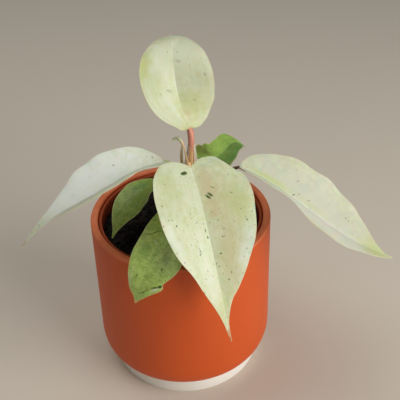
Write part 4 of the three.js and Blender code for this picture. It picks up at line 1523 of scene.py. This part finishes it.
def new_leaf(settings):
    """The rolled new leaf: a tapered roll with its free edge winding round it."""

    def radius(along, angle):
        winding = (angle / tau + NEW_LEAF_TURNS * along) % 1
        return spline(NEW_LEAF_RADII, along) * (0.86 + 0.26 * winding)

    obj = bent_bar("rolled_new_leaf", NEW_LEAF_PATH, radius, sides=28, steps=80, facing=(0, -1, 0))
    smooth(obj, 50)
    return finish_piece(obj, "new_leaf", [new_leaf_material(settings)])


def bud_scale(settings):
    """The narrow dry scale behind the new leaf, hollow towards the stalk."""
    obj, flat = sheet("dry_bud_scale", columns=14, rows=40)
    across, along = flat[:, 0], (flat[:, 1] + 1) / 2
    half = spline(BUD_SCALE_HALF_WIDTHS, along)
    behind = 0.25 * np.sin(9 * along) * across - 0.7 * half * across**2
    put(obj, (spline(BUD_SCALE_PATH, along) + np.stack([across * half, behind, 0 * along], 1)) * MM)
    write_uv(obj, "tube", (across + 1) / 2, along)
    thicken(obj, BUD_SCALE_THICKNESS * MM)
    smooth(obj, 50)
    return finish_piece(obj, "bud_scale", [scale_material(settings)])


# Leaves

MIDRIB_STEPS = 240
WAVES_PER_BLADE = 4.5

# The grid of a blade, and of one that is shorter than SMALL_LEAF, in millimetres
BLADE_GRID = (150, 72)
SMALL_BLADE_GRID = (84, 48)
SMALL_LEAF = 80

# Crowds the grid's columns towards the midrib when above 1
COLUMN_CROWDING = 1.2

# How far the rib reaches under the blade, and the rounded valley and the groove over it, in millimetres
RIB_REACH = 1.6
VALLEY = 0.7
GROOVE_DEPTH = 0.3
GROOVE_REACH = 0.45

# The thickness at the margin as a share of the blade's, and the millimetres over which it gains a whole one
MARGIN_THICKNESS = 0.45
MARGIN_TAPER = 5

# The swell between the side veins and the veins below, in depths of the veins above, and a vein's width as a
# share of their spacing
SWELL = 2.2
VEIN_BELOW = 1.6
VEIN_WIDTH = 0.05

# Clouds that warp the whole blade, in millimetres
WARP_SIZE = 16
WARP_DEPTH = 0.9


def midrib(leaf):
    """Places along a leaf's midrib, with the directions ahead, to its left and up from it."""
    u = np.linspace(0, 1, MIDRIB_STEPS + 1)
    azimuth = np.radians(spline(leaf["azimuth"], u))
    pitch = np.radians(spline(leaf["pitch"], u))
    ahead = np.stack([np.cos(pitch) * np.cos(azimuth), np.cos(pitch) * np.sin(azimuth), np.sin(pitch)], 1)
    up = np.stack([-np.sin(pitch) * np.cos(azimuth), -np.sin(pitch) * np.sin(azimuth), np.cos(pitch)], 1)
    step = leaf["length"] / MIDRIB_STEPS
    travelled = np.concatenate([np.zeros((1, 3)), np.cumsum((ahead[1:] + ahead[:-1]) * step / 2, axis=0)])
    return travelled + leaf["base"], ahead, np.cross(up, ahead), up


def blade_surface(leaf, x, y):
    """Takes points of the flat blade, x along the midrib and y to its left, to their places in space."""
    u = np.clip(x / leaf["length"], 0, 1)
    stations = np.linspace(0, 1, MIDRIB_STEPS + 1)
    at, ahead, left, up = (
        np.stack([np.interp(u, stations, part[:, axis]) for axis in range(3)], 1) for part in midrib(leaf)
    )
    half = max(width for _, width in leaf["left"] + leaf["right"])
    bend = -radians(leaf["curl"]) / half
    side = np.where(y < 0, -1, 1)
    start = np.radians(np.where(y < 0, spline(leaf["rise_right"], u), spline(leaf["rise_left"], u)))
    across = (np.sin(start + bend * np.abs(y)) - np.sin(start)) / bend
    eased = np.sqrt(y**2 + VALLEY**2) - VALLEY
    lift = -(np.cos(start + bend * eased) - np.cos(start)) / bend
    lift += np.sin(tau * WAVES_PER_BLADE * u + side) * leaf["wave"] * (y / half) ** 2
    return at + ahead * np.minimum(x, 0)[:, None] + left * (side * across)[:, None] + up * lift[:, None]


def flat_blade(leaf, along, across):
    """Where rows and columns of a blade lie on the flat leaf, and how far each point is from the margin."""
    left, right = spline(leaf["left"], along), spline(leaf["right"], along)
    middle = (spline(leaf["left"], 0.5)[0] + spline(leaf["right"], 0.5)[0]) / 2
    spread = np.log(middle / leaf["length"]) / np.log(0.5)
    on_midrib = leaf["length"] * along**spread
    edge = np.where((across < 0)[:, None], right, left)
    x = on_midrib + (edge[:, 0] - on_midrib) * np.abs(across)
    y = edge[:, 1] * across
    from_margin = (1 - np.abs(across)) * np.hypot(edge[:, 0] - on_midrib, edge[:, 1])
    return x, y, from_margin


def blade_normal(leaf, x, y, reach=0.3):
    """The direction square to the blade, from its slope over a short reach in millimetres."""
    ahead = blade_surface(leaf, x + reach, y) - blade_surface(leaf, x - reach, y)
    left = blade_surface(leaf, x, y + reach) - blade_surface(leaf, x, y - reach)
    return unit(np.cross(ahead, left))


def vein_relief(along, across):
    """How deep the side veins lie, from 0 to 1, and the low swell of the blade between them."""
    turn = (along - VEIN_SWEEP * np.abs(across) ** VEIN_BEND) * SIDE_VEINS
    off = np.abs(turn % 1 - 0.5)
    fades = (1 - np.abs(across)) ** 0.5
    return np.exp(-((off / VEIN_WIDTH) ** 2)) * fades, np.sin(pi * off) * fades


def blade(name, leaf, settings):
    """One leaf blade: a thin sheet with a grooved midrib, ribbed below, and faint side veins."""
    grid = SMALL_BLADE_GRID if leaf["length"] < SMALL_LEAF else BLADE_GRID
    obj, flat = sheet("blade_" + name, *grid)
    along = (flat[:, 0] + 1) / 2
    across = np.sign(flat[:, 1]) * np.abs(flat[:, 1]) ** COLUMN_CROWDING
    x, y, from_margin = flat_blade(leaf, along, across)
    put(obj, blade_surface(leaf, x, y) * MM)
    thickness = obj.vertex_groups.new(name="thickness")
    for index, distance in enumerate(from_margin):
        share = min(1, MARGIN_THICKNESS + distance / MARGIN_TAPER)
        thickness.add([index], float(share), "REPLACE")
    thicken(obj, settings.blade, group="thickness")

    normal = blade_normal(leaf, x, y)
    veins, swell = vein_relief(along, across)
    depth = settings.vein_depth / MM
    groove = GROOVE_DEPTH * np.exp(-((y / GROOVE_REACH) ** 2)) * (1 - along)
    rib = RIB_DEPTH * (1 - along) * np.exp(-((y / RIB_REACH) ** 2))
    upper = depth * (SWELL * swell - veins) - groove
    lower = depth * (SWELL * swell - VEIN_BELOW * veins) - rib
    places = coordinates(obj) / MM
    count = len(x)
    top_first = np.sum((places[:count] - places[count:]) * normal, axis=1).mean() > 0
    moves = (upper, lower) if top_first else (lower, upper)
    places += np.concatenate([normal * move[:, None] for move in moves])
    put(obj, places * MM)
    roughen(obj, WARP_SIZE * MM, WARP_DEPTH * MM)

    x, y, along, across, from_margin = (np.tile(values, 2) for values in (x, y, along, across, from_margin))
    write_uv(obj, "flat", x / DECIMETRE, y / DECIMETRE)
    write_uv(obj, "fan", along, across)
    write_value(obj, "from_margin", from_margin)
    under = np.arange(2 * count) >= count
    write_value(obj, "underside", under if top_first else ~under)
    smooth(obj, 50)
    return finish_piece(obj, "leaf_" + name, [leaf_material("leaf_" + name, leaf, settings)])


# Stage

LENS = 72
SENSOR = 36
CAMERA_PITCH = radians(35)
CAMERA_ROLL = 0.03
CAMERA_DISTANCE = 567.65
AIM = (0, 0, 60)
IMAGE_SIZE = 400
AIM_PIXEL = (183.66, 278.36)

# The floor and the lights, places and sizes in metres
FLOOR_SIZE = 12
LIT_CENTRE = (0, 0, 0.1)
KEY_PLACE = (0.85, -0.62, 0.5)
KEY_SIZE = 0.8
KEY_TINT = (1, 0.985, 0.965)
FILL_PLACE = (-0.35, 0.1, 1.3)
FILL_SIZE = 1.0
FILL_TINT = (1, 1, 0.97)
SKY_TINT = (1, 0.98, 0.95)


def camera():
    """The camera looks down at the pot as in the photograph, with the aim point at its own pixel."""
    forward = Vector((0, cos(CAMERA_PITCH), -sin(CAMERA_PITCH)))
    level = Vector((1, 0, 0))
    down = forward.cross(level)
    right = level * cos(CAMERA_ROLL) + down * sin(CAMERA_ROLL)
    down = down * cos(CAMERA_ROLL) - level * sin(CAMERA_ROLL)
    focal = LENS / SENSOR * IMAGE_SIZE
    aside, below = ((pixel - IMAGE_SIZE / 2) / focal for pixel in AIM_PIXEL)
    place = Vector(AIM) - (forward + right * aside + down * below) * CAMERA_DISTANCE
    data = bpy.data.cameras.new("camera")
    data.lens = LENS
    data.sensor_width = SENSOR
    data.clip_start = 0.01
    obj = bpy.data.objects.new("camera", data)
    bpy.context.scene.collection.objects.link(obj)
    turn = Matrix((right, -down, -forward)).transposed().to_4x4()
    obj.matrix_world = Matrix.Translation(place * MM) @ turn
    bpy.context.scene.camera = obj


def lamp(name, place, size, power, tint):
    """A soft square light that faces the plant."""
    data = bpy.data.lights.new(name, "AREA")
    data.size = size
    data.energy = power
    data.color = tint
    obj = bpy.data.objects.new(name, data)
    bpy.context.scene.collection.objects.link(obj)
    obj.location = place
    obj.rotation_euler = (Vector(LIT_CENTRE) - Vector(place)).to_track_quat("-Z", "Y").to_euler()


def stage(settings):
    """A plain pale floor, a soft key light from the right, a weaker light from above and an even sky."""
    deselect()
    bpy.ops.mesh.primitive_plane_add(size=FLOOR_SIZE)
    floor = active("floor")
    floor.data.materials.append(floor_material(settings))
    lamp("key", KEY_PLACE, KEY_SIZE, settings.key, KEY_TINT)
    lamp("fill", FILL_PLACE, FILL_SIZE, settings.fill, FILL_TINT)
    world = bpy.data.worlds.new("sky")
    world.use_nodes = True
    background = world.node_tree.nodes["Background"]
    background.inputs["Color"].default_value = (*SKY_TINT, 1)
    background.inputs["Strength"].default_value = settings.sky
    scene = bpy.context.scene
    scene.world = world
    scene.view_settings.view_transform = "Standard"
    camera()


# Operators

class PLANT_OT_cover_pot(bpy.types.Operator):
    """Add the glazed cover pot"""

    bl_idname = "plant.cover_pot"
    bl_label = "Cover pot"

    def execute(self, context):
        cover_pot(context.scene.plant_pot)
        return {"FINISHED"}


class PLANT_OT_grow_pot(bpy.types.Operator):
    """Add the plastic grow pot"""

    bl_idname = "plant.grow_pot"
    bl_label = "Grow pot"

    def execute(self, context):
        grow_pot(context.scene.plant_grow_pot)
        return {"FINISHED"}


class PLANT_OT_soil(bpy.types.Operator):
    """Add the soil with its crumbs, chips and fibres"""

    bl_idname = "plant.soil"
    bl_label = "Soil"

    def execute(self, context):
        soil_body(context.scene.plant_soil)
        soil_pieces(context.scene.plant_soil)
        return {"FINISHED"}


class PLANT_OT_stem(bpy.types.Operator):
    """Add the stem"""

    bl_idname = "plant.stem"
    bl_label = "Stem"

    def execute(self, context):
        stem(context.scene.plant_growth)
        return {"FINISHED"}


class PLANT_OT_stalks(bpy.types.Operator):
    """Add the leaf stalks and the sheath of the top one"""

    bl_idname = "plant.stalks"
    bl_label = "Leaf stalks"

    def execute(self, context):
        for name, leaf in LEAVES.items():
            stalk(name, leaf, context.scene.plant_growth)
        sheath()
        return {"FINISHED"}


class PLANT_OT_leaves(bpy.types.Operator):
    """Add the leaf blades"""

    bl_idname = "plant.leaves"
    bl_label = "Leaves"

    def execute(self, context):
        for name, leaf in LEAVES.items():
            blade(name, leaf, context.scene.plant_growth)
        return {"FINISHED"}


class PLANT_OT_new_growth(bpy.types.Operator):
    """Add the rolled new leaf and the dry bud scale"""

    bl_idname = "plant.new_growth"
    bl_label = "New growth"

    def execute(self, context):
        new_leaf(context.scene.plant_growth)
        bud_scale(context.scene.plant_growth)
        return {"FINISHED"}


class PLANT_OT_stage(bpy.types.Operator):
    """Add the floor, the lights and the camera"""

    bl_idname = "plant.stage"
    bl_label = "Stage"

    def execute(self, context):
        stage(context.scene.plant_stage)
        return {"FINISHED"}


OPERATORS = (
    PLANT_OT_cover_pot,
    PLANT_OT_grow_pot,
    PLANT_OT_soil,
    PLANT_OT_stem,
    PLANT_OT_stalks,
    PLANT_OT_leaves,
    PLANT_OT_new_growth,
    PLANT_OT_stage,
)


class VIEW3D_PT_potted_philodendron(bpy.types.Panel):
    """Lists the pieces and their settings"""

    bl_label = "Potted philodendron"
    bl_space_type = "VIEW_3D"
    bl_region_type = "UI"
    bl_category = "Plant"

    def draw(self, context):
        for operator in OPERATORS:
            self.layout.operator(operator.bl_idname)
        for name, group in SETTINGS.items():
            box = self.layout.box()
            for key in group.__annotations__:
                box.prop(getattr(context.scene, name), key)


SETTINGS = {
    "plant_pot": PotSettings,
    "plant_grow_pot": GrowPotSettings,
    "plant_soil": SoilSettings,
    "plant_growth": PlantSettings,
    "plant_stage": StageSettings,
}


CLASSES = (*SETTINGS.values(), *OPERATORS, VIEW3D_PT_potted_philodendron)


def register():
    for kind in CLASSES:
        bpy.utils.register_class(kind)
    for name, group in SETTINGS.items():
        setattr(bpy.types.Scene, name, bpy.props.PointerProperty(type=group))


def unregister():
    for name in SETTINGS:
        delattr(bpy.types.Scene, name)
    for kind in reversed(CLASSES):
        bpy.utils.unregister_class(kind)


def main():
    register()
    build_groups()
    bpy.ops.plant.stage()
    bpy.ops.plant.cover_pot()
    bpy.ops.plant.grow_pot()
    bpy.ops.plant.soil()
    bpy.ops.plant.stem()
    bpy.ops.plant.stalks()
    bpy.ops.plant.leaves()
    bpy.ops.plant.new_growth()


if __name__ == "__main__":
    main()
